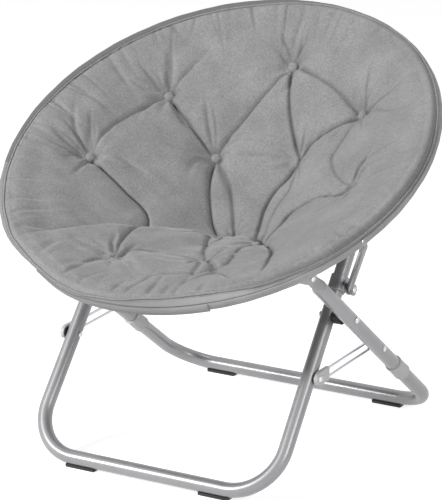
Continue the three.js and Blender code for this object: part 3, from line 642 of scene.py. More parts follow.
def round_washer(node, body):
    """A plain round spacer with softened edges."""
    start, end, centre, radius = node_span(node)
    soft = 0.5
    profile = [(start, radius - soft), (start + soft, radius), (end - soft, radius), (end, radius - soft)]
    washer = lathe_along_x(f"{node}_finished", profile, centre, BLACK_PLASTIC, 40)
    dress(washer, body, [node], "black_plastic")


SLEEVE_SLACK, BAND_LIFT, BAND_BORE_GAP, BAND_OVERHANG, BAND_EDGE = 0.5, 0.08, 0.3, 0.1, 0.6


def sleeve_band(side, label):
    """The rolled band of a sliding sleeve, round the front arm."""
    outer, inner = LEG_TUBE + SLEEVE_SLACK + SLEEVE_WALL + BAND_LIFT, LEG_TUBE + BAND_BORE_GAP
    half, around = SLEEVE_LENGTH / 2 + BAND_OVERHANG, 48
    low_edge = [(-half, inner), (-half, outer - BAND_EDGE), (-half + BAND_EDGE, outer)]
    profile = low_edge + [(-along, radius) for along, radius in reversed(low_edge)]
    vertices = []
    for along, radius in profile:
        place = SLEEVE_PLACE + along
        for k in range(around):
            angle = 2 * math.pi * k / around
            vertices.append(FRONT.point(side * front_x(place) + radius * math.cos(angle), place,
                                        radius * math.sin(angle)))
    band = tube_mesh(f"sleeve_band_{label}", vertices, around, PAINT, 40, joined=True)
    dress(band, f"sleeve_{label}", slot="painted_steel")


# Shank radius and head height of the two sizes of rivet
LARGE_RIVET, SMALL_RIVET = (4, 3.5), (3, 2.4)


def make_fittings():
    for side, label in ((1, "right"), (-1, "left")):
        round_rivet(f"pivot_rivet_{label}", "front_frame", *LARGE_RIVET)
        round_rivet(f"clip_rivet_{label}", "front_frame", *SMALL_RIVET)
        round_rivet(f"sleeve_rivet_{label}", f"sleeve_{label}", *SMALL_RIVET)
        round_rivet(f"hinge_rivet_{label}", "hoop_front", *SMALL_RIVET)
        round_rivet(f"bracket_rivet_{label}", "hoop_front", *LARGE_RIVET)
        round_washer(f"pivot_spacer_{label}", "front_frame")
        round_washer(f"clip_washer_{label}", "front_frame")
        sleeve_band(side, label)
        for node, body, material, slot, bevel in (
                (f"brace_clip_{label}", f"wire_brace_{label}", PALE_PLASTIC, "pale_plastic", 0.4),
                (f"front_pad_{label}", "front_frame", BLACK_PLASTIC, "black_plastic", 0.6),
                (f"rear_pad_{label}", "rear_frame", BLACK_PLASTIC, "black_plastic", 0.6),
                (f"brace_pin_{label}", "rear_frame", ZINC, "zinc", 0.3),
                (f"slide_sleeve_{label}", f"sleeve_{label}", PAINT, "painted_steel", 0.4),
                (f"front_bracket_{label}", "hoop_front", PAINT, "painted_steel", 0.4),
                (f"strut_lug_{label}", "hoop_front", PAINT, "painted_steel", 0.3),
                (f"rear_bracket_{label}", "hoop_rear", PAINT, "painted_steel", 0.4)):
            fitted_copy(node, body, material, slot, bevel)
    for half, body in (("front", "hoop_front"), ("rear", "hoop_rear")):
        tube = fitted_copy(f"hoop_tube_{half}", body, PAINT, "painted_steel", 0)
        for vertex in tube.data.vertices:
            x, s, off = HOOP.local(vertex.co)
            shift = hoop_pull(math.atan2(s, x)) / math.hypot(x, s)
            vertex.co = HOOP.point(x * (1 - shift), s * (1 - shift), off)


# The dish of the seat, in the plane of the hoop: across and up the slope, in millimetres

def dish_underside(x, s):
    reach = np.minimum(np.hypot(x, s) / CUSHION_RADIUS, 1)
    side = 1 - SIDE_LIFT * (x / CUSHION_RADIUS) ** 2
    return -EDGE_DROP - (DISH_DEPTH - EDGE_DROP) * (1 - reach ** DISH_POWER) * side


# Places where the velvet is drawn down: under the covered buttons, and by bare thread
BUTTONS = [(-201, 166), (-266, -17), (-93, 102), (2, 274), (179, 185)]
HIDDEN_TUFTS = [(68, 120), (230, 18), (-83, -253), (64, -209), (12, -62), (104, -104)]

# Folds of the velvet: places along each, its depth, how wide it opens, and whether it fades at each end
DEEP, DRAWN, CREASE, WRINKLE = (15, 15), (10, 14), (7, 9), (5, 7)
FOLDS = [
    (DEEP, (0, 1), [(106, -102), (138, -130), (170, -164), (194, -214), (211, -260), (224, -296)]),
    (DEEP, (0, 0), [(-199, 162), (-151, 132), (-122, 114), (-94, 100)]),
    (CREASE, (0, 1), [(-200, 168), (-207, 203), (-220, 244), (-232, 290)]),
    (CREASE, (0, 1), [(-197, 171), (-174, 219), (-149, 267)]),
    (CREASE, (0, 1), [(-205, 163), (-236, 176), (-273, 195)]),
    (DRAWN, (0, 0), [(-204, 162), (-229, 110), (-256, 58), (-265, -12)]),
    (DEEP, (0, 0), [(-263, -22), (-212, -42), (-177, -58), (-146, -70), (-122, -93), (-112, -117)]),
    (CREASE, (0, 1), [(-267, -20), (-304, -8), (-339, -4)]),
    (CREASE, (0, 1), [(-267, -16), (-298, 6), (-337, 22)]),
    (CREASE, (0, 1), [(-265, -8), (-283, 32), (-300, 74)]),
    (WRINKLE, (0, 1), [(-267, -26), (-304, -36), (-344, -39)]),
    (DEEP, (0, 0), [(-93, 97), (-78, 39), (-47, -22), (-13, -62)]),
    (DRAWN, (0, 0), [(-90, 99), (-50, 61), (-26, 19), (13, -52)]),
    (DRAWN, (0, 0), [(-90, 107), (-53, 180), (-1, 267)]),
    (WRINKLE, (0, 1), [(-94, 108), (-106, 151), (-136, 191)]),
    (DEEP, (0, 0), [(2, 269), (14, 220), (33, 177), (68, 122)]),
    (DRAWN, (0, 0), [(5, 273), (86, 241), (143, 205), (177, 187)]),
    (CREASE, (0, 1), [(-1, 279), (-25, 308), (-41, 333)]),
    (CREASE, (0, 1), [(5, 279), (19, 309), (22, 337)]),
    (CREASE, (0, 1), [(181, 191), (172, 248), (176, 289)]),
    (CREASE, (0, 1), [(184, 189), (227, 199), (263, 225)]),
    (WRINKLE, (0, 1), [(186, 183), (257, 161), (302, 160)]),
    (DEEP, (0, 0), [(175, 181), (125, 160), (88, 145), (70, 124)]),
    (DEEP, (0, 0), [(68, 117), (55, 84), (39, 58), (34, 18), (63, -62)]),
    (CREASE, (0, 0), [(181, 181), (158, 121), (157, 88), (190, 47), (233, 15)]),
    (CREASE, (0, 1), [(233, 20), (236, 60), (269, 75), (315, 93)]),
    (WRINKLE, (0, 1), [(237, 14), (286, 15), (339, 14)]),
    (DEEP, (0, 0), [(233, 15), (208, 3), (167, 14), (140, 11), (113, -9), (108, -35), (109, -100)]),
    (CREASE, (0, 0), [(70, 115), (75, 57), (65, 13), (89, -85)]),
    (WRINKLE, (1, 1), [(-76, 98), (-31, 116), (62, 121)]),
    (DRAWN, (0, 0), [(-82, -253), (-103, -184), (-114, -130)]),
    (CREASE, (0, 1), [(-85, -253), (-118, -247), (-154, -244)]),
    (CREASE, (0, 1), [(-86, -259), (-105, -287), (-105, -325)]),
    (DRAWN, (0, 0), [(-79, -251), (-58, -216), (-10, -204), (60, -206)]),
    (DRAWN, (0, 0), [(59, -201), (23, -147), (-10, -86)]),
    (CREASE, (0, 1), [(64, -208), (109, -240), (103, -272), (84, -324)]),
    (CREASE, (1, 0), [(0, -345), (14, -323), (32, -288), (82, -269), (104, -249)]),
    (CREASE, (0, 0), [(104, -242), (119, -218), (102, -151), (110, -107)]),
    (CREASE, (0, 1), [(107, -248), (128, -257), (180, -285)]),
]

# The sewn edge where the seat laps over the foot of the back, from its left end to its right
SEAT_EDGE = [
    (-262, -300), (-248, -292), (-228, -272), (-206, -238), (-182, -204), (-150, -168), (-129, -148),
    (-109, -126), (-85, -106), (-55, -85), (-25, -72), (10, -64), (45, -66), (75, -80), (106, -102),
    (138, -130), (170, -164), (194, -214), (211, -260), (224, -296)]


def smooth_path(points, per_span=8):
    """A curve through the points, as many short runs."""
    pts = [np.array(p, float) for p in points]
    pts = [2 * pts[0] - pts[1]] + pts + [2 * pts[-1] - pts[-2]]
    made = []
    for i in range(1, len(pts) - 2):
        a, b, c, d = pts[i - 1:i + 3]
        for t in np.linspace(0, 1, per_span, endpoint=False):
            bend, twist = 2 * a - 5 * b + 4 * c - d, 3 * b - a - 3 * c + d
            made.append(0.5 * (2 * b + (c - a) * t + bend * t ** 2 + twist * t ** 3))
    return np.array(made + [pts[-2]])


def path_distance(x, s, path):
    """For each place: its distance to the path, how far along it from 0 to 1, and the side it lies on."""
    nearest = np.full(x.shape, 1e9)
    along = np.zeros(x.shape)
    side = np.zeros(x.shape)
    lengths = np.hypot(*(path[1:] - path[:-1]).T)
    reach = np.concatenate([[0], np.cumsum(lengths)])
    for i, (a, b) in enumerate(zip(path[:-1], path[1:])):
        run = b - a
        t = np.clip(((x - a[0]) * run[0] + (s - a[1]) * run[1]) / (run @ run), 0, 1)
        dx, ds = x - a[0] - t * run[0], s - a[1] - t * run[1]
        distance = np.hypot(dx, ds)
        better = distance < nearest
        nearest = np.where(better, distance, nearest)
        along = np.where(better, (reach[i] + t * lengths[i]) / reach[-1], along)
        side = np.where(better, np.sign(run[0] * ds - run[1] * dx), side)
    return nearest, along, side


def lumps(x, s, size, seed):
    """Smooth random relief from about -1 to 1, with lumps of about that size."""
    source = np.random.default_rng(seed)
    total = np.zeros(x.shape)
    waves = 14
    for _ in range(waves):
        angle, phase = source.uniform(0, 2 * math.pi, 2)
        wave = source.uniform(0.7, 1.4) * 2 * math.pi / (size * 2)
        total += np.sin((x * math.cos(angle) + s * math.sin(angle)) * wave + phase)
    return total / math.sqrt(waves) / 1.4


STAR_CREASES, STAR_LENGTHS, STAR_DEPTHS, STAR_WIDTHS, STAR_START = 13, (35, 105), (2.6, 7.5), (3.6, 7), 6
GATHERS, GATHER_LENGTHS, GATHER_DEPTHS, GATHER_WIDTHS = 84, (30, 105), (1, 5), (3.2, 7)


def round_place(radius, angle, x=0.0, s=0.0):
    return x + radius * math.cos(angle), s + radius * math.sin(angle)


def small_wrinkles():
    """Short seeded creases: a star round each tuft and gathers along the edge."""
    source = np.random.default_rng(7)
    made = []
    for x, s in BUTTONS + HIDDEN_TUFTS:
        start = source.uniform(0, 2 * math.pi)
        for k in range(STAR_CREASES):
            angle = start + (k + source.uniform(-0.35, 0.35)) * 2 * math.pi / STAR_CREASES
            length = source.uniform(*STAR_LENGTHS)
            bend = source.uniform(-0.35, 0.35)
            places = [round_place(STAR_START, angle, x, s), round_place(0.5 * length, angle, x, s),
                      round_place(length, angle + bend, x, s)]
            size = source.uniform(*STAR_DEPTHS), source.uniform(*STAR_WIDTHS)
            made.append((size, (1, 1), places))
    for k in range(GATHERS):
        angle = (k + source.uniform(-0.5, 0.5)) * 2 * math.pi / GATHERS
        inner = CUSHION_RADIUS - source.uniform(*GATHER_LENGTHS)
        turn = source.uniform(-0.06, 0.06)
        size = source.uniform(*GATHER_DEPTHS), source.uniform(*GATHER_WIDTHS)
        made.append((size, (0, 1), [round_place(CUSHION_RADIUS, angle), round_place(inner, angle + turn)]))
    return made


# Shares of its length over which a fold deepens and dies away: the drawn grooves, then the fine pleats
GROOVE_FADES, PLEAT_FADES = (0.5, 0.6), (0.15, 0.7)
VALLEY_SHARE, VALLEY_SPREAD, VALLEY_ROUNDING = 0.75, 0.4, 0.03
TUCK_SHARE, TUCK_WIDTH, TUCK_SHADE_WIDTH = 0.4, 3.6, 2.2


def near_path(x, s, path, reach):
    """Which places lie within that reach of the box round a path."""
    low, high = path.min(0) - reach, path.max(0) + reach
    return np.where((x > low[0]) & (x < high[0]) & (s > low[1]) & (s < high[1]))[0]


def groove(x, s, fold):
    """A drawn in crease: a wide valley with a narrow tuck in it, and the painted shade that darkens the
    tuck.
    """
    (depth, width), (fade_start, fade_end), points = fold
    path = smooth_path(points)
    near = near_path(x, s, path, width * 5)
    cut, painted_shade = np.zeros(x.shape), np.zeros(x.shape)
    if not len(near):
        return cut, painted_shade
    distance, along, _ = path_distance(x[near], s[near], path)
    fade = np.ones(distance.shape)
    if fade_start:
        fade *= np.clip(along / GROOVE_FADES[0], 0, 1)
    if fade_end:
        fade *= np.clip((1 - along) / GROOVE_FADES[1], 0, 1)
    spread = (distance / width) ** 2 * VALLEY_SPREAD
    valley = VALLEY_SHARE * np.exp(-np.sqrt(spread + VALLEY_ROUNDING))
    cut[near] = depth * fade * (valley + TUCK_SHARE * np.exp(-(distance / TUCK_WIDTH) ** 2))
    painted_shade[near] = depth / DEEP[0] * fade * np.exp(-(distance / TUCK_SHADE_WIDTH) ** 2)
    return cut, painted_shade


def pleat(x, s, fold):
    """A round sided crease, which adds to the shape that it crosses."""
    (depth, width), (fade_start, _), points = fold
    path = smooth_path(points)
    near = near_path(x, s, path, width * 3)
    cut = np.zeros(x.shape)
    if len(near):
        distance, along, _ = path_distance(x[near], s[near], path)
        fade = np.clip((1 - along) / PLEAT_FADES[1], 0, 1)
        if fade_start:
            fade *= np.clip(along / PLEAT_FADES[0], 0, 1)
        cut[near] = depth * fade * np.exp(-(distance / width) ** 2)
    return cut


BUTTON_DIP, THREAD_DIP, DIP_WIDTH = 22, 11, 19
LIP_HEIGHT, LIP_ROUNDING, LIP_LENGTH = 10, 9, 130
FOOT_DIP, FOOT_WIDTH = 15, 26
# Where the seat's lip and the dip behind it die away towards the right, and over what distance
LIP_END, LIP_FADE = 70, 50
SEAM_SHADE_WIDTH, SEAM_SHADE_END, SEAM_SHADE_FADE = 2.6, 0.99, 0.1
BUTTON_SHADE, BUTTON_SHADE_WIDTH = 0.9, 11
QUILT_FLATTENING = 0.8
# Random relief of the padding: the size of its lumps, their seed and their height
PADDING_LUMPS = [(46, 3, 2.2), (17, 5, 0.7)]
SHOULDER_HEIGHT = 12
# Shares of the dish's radius: where the padding starts to slope to the edge, where the quilting flattens
# out, and where the shoulder over the rim begins
FLANK_SHARE, FLANK_SIDE_SHARE, QUILT_SHARE, SHOULDER_SHARE = 0.7, 0.35, 0.82, 0.88
# Creases that cross are blended by this power, so that their depths don't add up
BLEND_POWER = 2.6


def dish_topside(x, s):
    """Height of the velvet above the plane of the hoop, and how much painted shade darkens its colour there.
    """
    reach = np.minimum(np.hypot(x, s) / CUSHION_RADIUS, 1)
    flank = FLANK_SHARE - FLANK_SIDE_SHARE * x ** 2 / (x ** 2 + s ** 2 + 1)
    edge = 1 - np.clip((reach - flank) / (1 - flank), 0, 1)
    quilted = 1 - QUILT_FLATTENING * eased(np.clip((reach - QUILT_SHARE) / (1 - QUILT_SHARE), 0, 1))
    shoulder = np.clip((reach - SHOULDER_SHARE) / (1 - SHOULDER_SHARE), 0, 1)
    crown = PAD_DEPTH - EDGE_DROP - EDGE_RISE + QUILT_CROWN
    seat = SEAT_CROWN * edge * np.exp(-(np.hypot(x, s + SEAT_CROWN_FORWARD) / SEAT_CROWN_REACH) ** 2)
    total = np.zeros(x.shape)
    painted_shade_map = np.zeros(x.shape)
    for fold in FOLDS:
        cut, painted_shade = groove(x, s, fold)
        total += cut ** BLEND_POWER
        painted_shade_map = np.maximum(painted_shade_map, painted_shade)
    fine = sum(pleat(x, s, fold) for fold in small_wrinkles())
    # The last bare tuft, at the corner of the seat's edge, is shaped by its creases alone
    dips = [(tuft, BUTTON_DIP) for tuft in BUTTONS] + [(tuft, THREAD_DIP) for tuft in HIDDEN_TUFTS[:-1]]
    for (x_tuft, s_tuft), depth in dips:
        distance = np.hypot(x - x_tuft, s - s_tuft)
        total += (depth * np.exp(-(distance / DIP_WIDTH) ** 1.1)) ** BLEND_POWER
    drawn = total ** (1 / BLEND_POWER)
    seam, _, side = path_distance(x, s, smooth_path(SEAT_EDGE))
    front = side < 0
    inner = 1 - np.clip((x - LIP_END) / LIP_FADE, 0, 1)
    lip = LIP_HEIGHT * inner * (1 - np.exp(-seam / LIP_ROUNDING)) * np.exp(-seam / LIP_LENGTH)
    foot = -FOOT_DIP * inner * np.exp(-seam / FOOT_WIDTH)
    relief = sum(lumps(x, s, size, seed) * height for size, seed, height in PADDING_LUMPS)
    padding = EDGE_RISE + EDGE_DROP + edge * crown + RIM_ROLL * (1 - edge)
    padding += quilted * (np.where(front, lip, foot) + relief - drawn)
    padding += SHOULDER_HEIGHT * shoulder ** 2 * (1 - shoulder) - fine
    # Painted shade round each button and along the seat's sewn edge, added to that of the creases
    for x_tuft, s_tuft in BUTTONS:
        distance = np.hypot(x - x_tuft, s - s_tuft)
        painted_shade_map = np.maximum(painted_shade_map, BUTTON_SHADE * np.exp(-(distance / BUTTON_SHADE_WIDTH) ** 2))
    seam_end = np.clip((SEAM_SHADE_END - reach) / SEAM_SHADE_FADE, 0, 1)
    seam_shade = np.exp(-(seam / SEAM_SHADE_WIDTH) ** 2) * seam_end
    painted_shade_map = np.maximum(painted_shade_map, seam_shade)
    return dish_underside(x, s) + padding + seat, painted_shade_map


def disc_grid(count):
    """Even places over a disc: a square grid whose squares are bent into rings."""
    line = np.linspace(-1, 1, count)
    a, b = np.meshgrid(line, line, indexing="ij")
    wide = np.abs(a) > np.abs(b)
    radius = np.where(wide, a, b)
    with np.errstate(divide="ignore", invalid="ignore"):
        angle = np.where(wide, (math.pi / 4) * (b / a), (math.pi / 2) - (math.pi / 4) * (a / b))
    angle = np.nan_to_num(angle)
    return (radius * np.cos(angle)).ravel(), (radius * np.sin(angle)).ravel()


# Where the velvet ends round the hoop's tube: angle round the hoop, turn round the tube, in degrees
EDGE_TURNS = [
    (-180, 122), (-165, 114), (-155, 104), (-140, 88), (-129, 62), (-118, 42), (-100, 54), (-90, 70),
    (-80, 103), (-68, 117), (-50, 74), (-30, 56), (0, 53), (27, 71), (45, 73), (75, 101), (110, 136),
    (150, 142), (172, 134), (180, 122)]
SKIN_GAP, SEAM_GAP, SEAM_TURN_BACK = 0.9, 0.2, 0.03
# How far the velvet swells off the tube, and how much further about one place on the right
SWELL, SIDE_SWELL, SIDE_SWELL_PLACE, SIDE_SWELL_WIDTH = 1.0, 6.5, -12, 58
# Turn round the tube at which the lining starts, in degrees
UNDERSIDE_TURN = 188


def full_turn(angle):
    """The angle in degrees, from -180 to 180."""
    return (math.degrees(angle) + 180) % 360 - 180


def edge_turn(angle):
    """Turn round the tube, 0 outwards and 90 up, at which the velvet stops for a place on the hoop."""
    place = full_turn(angle)
    for (start, low), (end, high) in zip(EDGE_TURNS[:-1], EDGE_TURNS[1:]):
        if start <= place <= end:
            return math.radians(low + (high - low) * eased((place - start) / (end - start)))
    return math.radians(EDGE_TURNS[0][1])


def lip_rows(angle, start, count=14):
    """The velvet's way from the dish over the tube to its seam, then back under itself along the sleeve."""
    end = edge_turn(angle)
    across, rise = start
    first, reach = math.atan2(rise, across), math.hypot(across, rise)
    skin = COVER_RADIUS + SKIN_GAP
    touch = first - math.acos(min(skin / reach, 1))
    away = (math.degrees(angle) - SIDE_SWELL_PLACE) / SIDE_SWELL_WIDTH
    swell = SWELL + SIDE_SWELL * math.exp(-away ** 2)
    rows = []
    for i in range(1, count + 1):
        share = i / count
        turn = first + (end - first) * share
        straight = skin / math.cos(turn - touch) if turn > touch else skin
        rows.append((straight + swell * math.sin(math.pi * share ** 1.25) ** 1.5, turn))
    rows.append((COVER_RADIUS + SEAM_GAP, end - SEAM_TURN_BACK))
    for share in (0.35, 0.7, 1):
        rows.append((COVER_RADIUS + SEAM_GAP, end + (math.radians(UNDERSIDE_TURN) - end) * share))
    return rows


# The lining's rings: share of the edge's radius, and how many places of the ring before make one of its own
UNDERSIDE_RINGS = [(0.99, 2), (0.975, 2), (0.95, 1), (0.91, 2), (0.86, 1), (0.8, 1), (0.73, 1), (0.65, 1),
                   (0.56, 2), (0.47, 1), (0.37, 1), (0.27, 2), (0.17, 1), (0.08, 2)]
GRID_INSET = 1.5
# The pull of the rim dies away towards the middle of the dish by this power
PULL_POWER = 6


def dish_mesh(count=321):
    """The whole cushion as one closed skin: velvet above and over the tube, lining below."""
    ux, us = disc_grid(count)
    edge_radius = CUSHION_RADIUS - GRID_INSET
    drawn_in = np.array([hoop_pull(angle) for angle in np.arctan2(us, ux)])
    pull = 1 - drawn_in / HOOP_RADIUS * np.hypot(ux, us) ** PULL_POWER
    x, s = ux * edge_radius, us * edge_radius
    height, painted_shade_map = dish_topside(x, s)
    vertices = list(np.stack([x * pull, s * pull, height], 1))
    faces = []
    for i in range(count - 1):
        for j in range(count - 1):
            here, beyond = i * count + j, (i + 1) * count + j
            faces.append((here, beyond, beyond + 1, here + 1))
    border = [i * count for i in range(count)] + [(count - 1) * count + j for j in range(1, count)]
    border += [i * count + count - 1 for i in range(count - 2, -1, -1)] + list(range(count - 2, 0, -1))
    angles = [math.atan2(us[k], ux[k]) for k in border]
    columns = []
    for k, angle in zip(border, angles):
        middle = HOOP_RADIUS - hoop_pull(angle)
        start = (math.hypot(*vertices[k][:2]) - middle, vertices[k][2])
        column = [k]
        for reach, turn in lip_rows(angle, start):
            radial = middle + reach * math.cos(turn)
            column.append(len(vertices))
            vertices.append(np.array([*round_place(radial, angle), reach * math.sin(turn)]))
        columns.append(column)
    for k, column in enumerate(columns):
        after = columns[(k + 1) % len(columns)]
        for row in range(len(column) - 1):
            faces.append((column[row], column[row + 1], after[row + 1], after[row]))
    ring = [column[-1] for column in columns]
    for share, thin in UNDERSIDE_RINGS:
        angles = angles[::thin]
        inner = list(range(len(vertices), len(vertices) + len(angles)))
        for angle in angles:
            radial = share * (edge_radius - hoop_pull(angle) * share ** PULL_POWER)
            x, s = round_place(radial, angle)
            vertices.append(np.array([x, s, float(dish_underside(x, s))]))
        for k in range(len(inner)):
            a, b = inner[k], inner[(k + 1) % len(inner)]
            outer = [ring[(k * thin + step) % len(ring)] for step in range(thin + 1)]
            faces.append((outer[0], a, b, *reversed(outer[1:])))
        ring = inner
    faces.append(tuple(ring))
    painted_shade_map = np.concatenate([painted_shade_map, np.zeros(len(vertices) - len(painted_shade_map))])
    return HOOP.points(np.array(vertices)), faces, painted_shade_map


CUT_GAP, SHADING_REACH = 1e-7, 0.004


def half_dish(whole, name, keep_rear):
    """One side of the hinge line, closed there, with the whole cushion's shading carried over the seam."""
    work = bmesh.new()
    work.from_mesh(whole.data)
    along = Vector((0, HOOP.cos, HOOP.sin))
    cut = bmesh.ops.bisect_plane(work, geom=work.verts[:] + work.edges[:] + work.faces[:], dist=CUT_GAP,
                                 plane_co=HOOP.point(0, -HINGE_FORWARD), plane_no=along,
                                 clear_outer=not keep_rear, clear_inner=keep_rear)
    border = [e for e in cut["geom_cut"] if isinstance(e, bmesh.types.BMEdge)]
    old = set(work.faces)
    bmesh.ops.triangle_fill(work, edges=border, use_beauty=True)
    for face in work.faces:
        face.tag = face not in old
    mesh = bpy.data.meshes.new(name)
    bmesh.ops.recalc_face_normals(work, faces=work.faces)
    work.faces.index_update()
    caps = {face.index for face in work.faces if face.tag}
    work.to_mesh(mesh)
    work.free()
    mesh.materials.append(VELVET)
    mesh.shade_smooth()
    polygons = [tuple(polygon.vertices) for polygon in whole.data.polygons]
    tree = BVHTree.FromPolygons([vertex.co.copy() for vertex in whole.data.vertices], polygons)
    corner = np.array([vertex.normal for vertex in whole.data.vertices])
    places = np.array([vertex.co for vertex in whole.data.vertices])
    normals = []
    seam = HOOP.point(0, -HINGE_FORWARD)
    for polygon in mesh.polygons:
        for index in polygon.vertices:
            co = mesh.vertices[index].co
            if polygon.index in caps:
                normals.append(polygon.normal.copy())
            elif abs((co - seam).dot(along)) < SHADING_REACH:
                _, _, face, _ = tree.find_nearest(co)
                ring = list(polygons[face])
                weights = 1 / (np.linalg.norm(places[ring] - np.array(co), axis=1) + 1e-5)
                blended = (corner[ring] * weights[:, None]).sum(0)
                normals.append(Vector(blended / np.linalg.norm(blended)))
            else:
                normals.append(mesh.vertices[index].normal.copy())
    mesh.normals_split_custom_set(normals)
    piece = bpy.data.objects.new(name, mesh)
    scene.collection.objects.link(piece)
    return piece


# A button's outline from its top to its back: radius, and height over its middle
BUTTON_OUTLINE = [(0.0, 3.4), (3.5, 3.1), (6.6, 2.1), (8.6, 0.3), (9.2, -1.6), (8.4, -3.4), (5.5, -4.2),
                  (0.0, -4.4)]
BUTTON_LIFT = 4.0


def button_mesh(work, place):
    """A covered button seated in its tuft, square to the slope of the dish."""
    x, s = place
    step = 30
    normal = Vector((dish_underside(x - step, s) - dish_underside(x + step, s),
                     dish_underside(x, s - step) - dish_underside(x, s + step), 2 * step)).normalized()
    height = float(dish_topside(np.array([x], float), np.array([s], float))[0][0])
    turn = Vector((0, 0, 1)).rotation_difference(normal)
    around = 28
    rings = []
    for radius, along in BUTTON_OUTLINE:
        ring = []
        for k in range(1 if radius == 0 else around):
            angle = 2 * math.pi * k / around
            local = Vector((*round_place(radius, angle), along + BUTTON_LIFT))
            seated = turn @ local + Vector((x, s, height))
            ring.append(work.verts.new(HOOP.point(*seated)))
        rings.append(ring)
    for upper, lower in zip(rings[:-1], rings[1:]):
        for k in range(around):
            n = (k + 1) % around
            if len(upper) == 1:
                work.faces.new((upper[0], lower[k], lower[n]))
            elif len(lower) == 1:
                work.faces.new((upper[k], lower[0], upper[n]))
            else:
                work.faces.new((upper[k], lower[k], lower[n], upper[n]))


def make_cushion():
    vertices, faces, painted_shade_map = dish_mesh()
    whole = new_object("whole_dish", vertices, faces, VELVET)
    # The painted shade goes to the velvet's shader as a point attribute
    whole.data.attributes.new("painted_shade", "FLOAT", "POINT").data.foreach_set("value", painted_shade_map)
    outward(whole)
    rear = half_dish(whole, "dish_rear", True)
    front = half_dish(whole, "dish_front", False)
    bpy.data.objects.remove(whole)
    work = bmesh.new()
    for place in BUTTONS:
        button_mesh(work, place)
    bmesh.ops.recalc_face_normals(work, faces=work.faces)
    mesh = bpy.data.meshes.new("dish_buttons")
    work.to_mesh(mesh)
    work.free()
    mesh.materials.append(VELVET)
    mesh.shade_smooth()
    buttons = bpy.data.objects.new("dish_buttons", mesh)
    scene.collection.objects.link(buttons)
    button_nodes = [f"tuft_button_{number}" for number in range(1, len(BUTTONS) + 1)]
    for piece, body, nodes in ((rear, "hoop_rear", ["cushion_rear"]),
                               (front, "hoop_front", ["cushion_front"]),
                               (buttons, "hoop_rear", button_nodes)):
        dress(piece, body, nodes, "velvet")
        tuple(HOOP.normal)
        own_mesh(piece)


# Cloth sleeve round the hoop, its piping and its stitched seams

def ring_place(angle, reach, turn):
    """A place on the rim: angle round the hoop, then reach and turn round its tube, from outwards."""
    radial = HOOP_RADIUS - hoop_pull(angle) + reach * math.cos(turn)
    return HOOP.point(*round_place(radial, angle), reach * math.sin(turn))


def ring_tube(name, start, end, outline, material, steps):
    """A tube along the hoop, its outline of reaches and turns given for each angle."""
    vertices = []
    for i in range(steps + 1):
        angle = start + (end - start) * i / steps
        section = outline(angle)
        vertices += [ring_place(angle, reach, turn) for reach, turn in section]
    return tube_mesh(name, vertices, len(section), material, 50)


FLAP_START, FLAP_END = math.radians(-118), math.radians(-65.6)
FLAP_THICKNESS, FLAP_EDGE_TURN, FLAP_ROWS = 2.0, -75, 12
FLAP_SINK, FLAP_BACK_SINK, FLAP_EDGE_SHARE, FLAP_SEAM_GAP = 0.2, 1.2, 0.35, 0.05
# The seam that closes the sleeve: angle round the hoop and turn round the tube, in degrees
SEAM_TURNS = [(-180, 30), (-118, -4), (-105, 8), (-90, 25), (-66, 32), (-40, 30), (180, 30)]
# Turns from the seam to each place of the sleeve's outline, close together in its groove
SEAM_STEPS = [0.03, 0.06, 0.1, 0.16, 0.25, 0.38] + [0.55 + 0.185 * i for i in range(14)]
SEAM_DEPTH, SEAM_WIDTH, SLEEVE_SINK = 2.4, 0.055, 0.6
# How the sleeve's slack varies round the hoop: height, waves to the turn and their phase
SLACK_WAVES = [(0.21, 23, 0), (0.175, 57, 1)]


def seam_turn(angle):
    """Turn round the tube of the seam that closes the sleeve, for a place on the hoop."""
    return math.radians(float(np.interp(full_turn(angle), *zip(*SEAM_TURNS))))


def sleeve_outline(angle):
    """Round the tube, slightly slack, with a sewn groove on the outside where the sleeve closes."""
    slack = sum(height * math.sin(angle * waves + phase) for height, waves, phase in SLACK_WAVES)
    steps = [0] + SEAM_STEPS + [math.pi] + [-step for step in reversed(SEAM_STEPS)]
    return [(COVER_RADIUS - SLEEVE_SINK + slack - SEAM_DEPTH * math.exp(-(step / SEAM_WIDTH) ** 2),
             seam_turn(angle) + step) for step in steps]


def bead_outline(radius, reach, turn_of, count=14):
    """The outline of a cord that lies on the tube at a turn which changes round the hoop."""
    def outline(angle):
        turn = turn_of(angle)
        across, rise = reach * math.cos(turn), reach * math.sin(turn)
        places = []
        for k in range(count):
            around = 2 * math.pi * k / count
            x, y = across + radius * math.cos(around), rise + radius * math.sin(around)
            places.append((math.hypot(x, y), math.atan2(y, x)))
        return places
    return outline


def flap_outline(angle):
    """The overlapping end of the sleeve's cloth, a band on the outside of the tube."""
    top = seam_turn(angle) - FLAP_SEAM_GAP
    drop = math.radians(FLAP_EDGE_TURN) - top
    turns = [top + drop * i / FLAP_ROWS for i in range(FLAP_ROWS + 1)]
    shares = [FLAP_EDGE_SHARE if i in (0, FLAP_ROWS) else 1 for i in range(FLAP_ROWS + 1)]
    front = COVER_RADIUS - FLAP_SINK
    outer = [(front + FLAP_THICKNESS * share, turn) for share, turn in zip(shares, turns)]
    return outer + [(COVER_RADIUS - FLAP_BACK_SINK, turn) for turn in reversed(turns)]


RIM_GAP = 0.5
# Degrees round the hoop from one section of the rim to the next
RIM_STEP = 1.5


def rim_arc(front):
    """Where one half of the rim starts and ends round the hoop."""
    hinge = math.asin(-HINGE_FORWARD / HOOP_RADIUS)
    trim = RIM_GAP / 2 / HOOP_RADIUS
    return (-math.pi - hinge + trim, hinge - trim) if front else (hinge + trim, math.pi - hinge - trim)


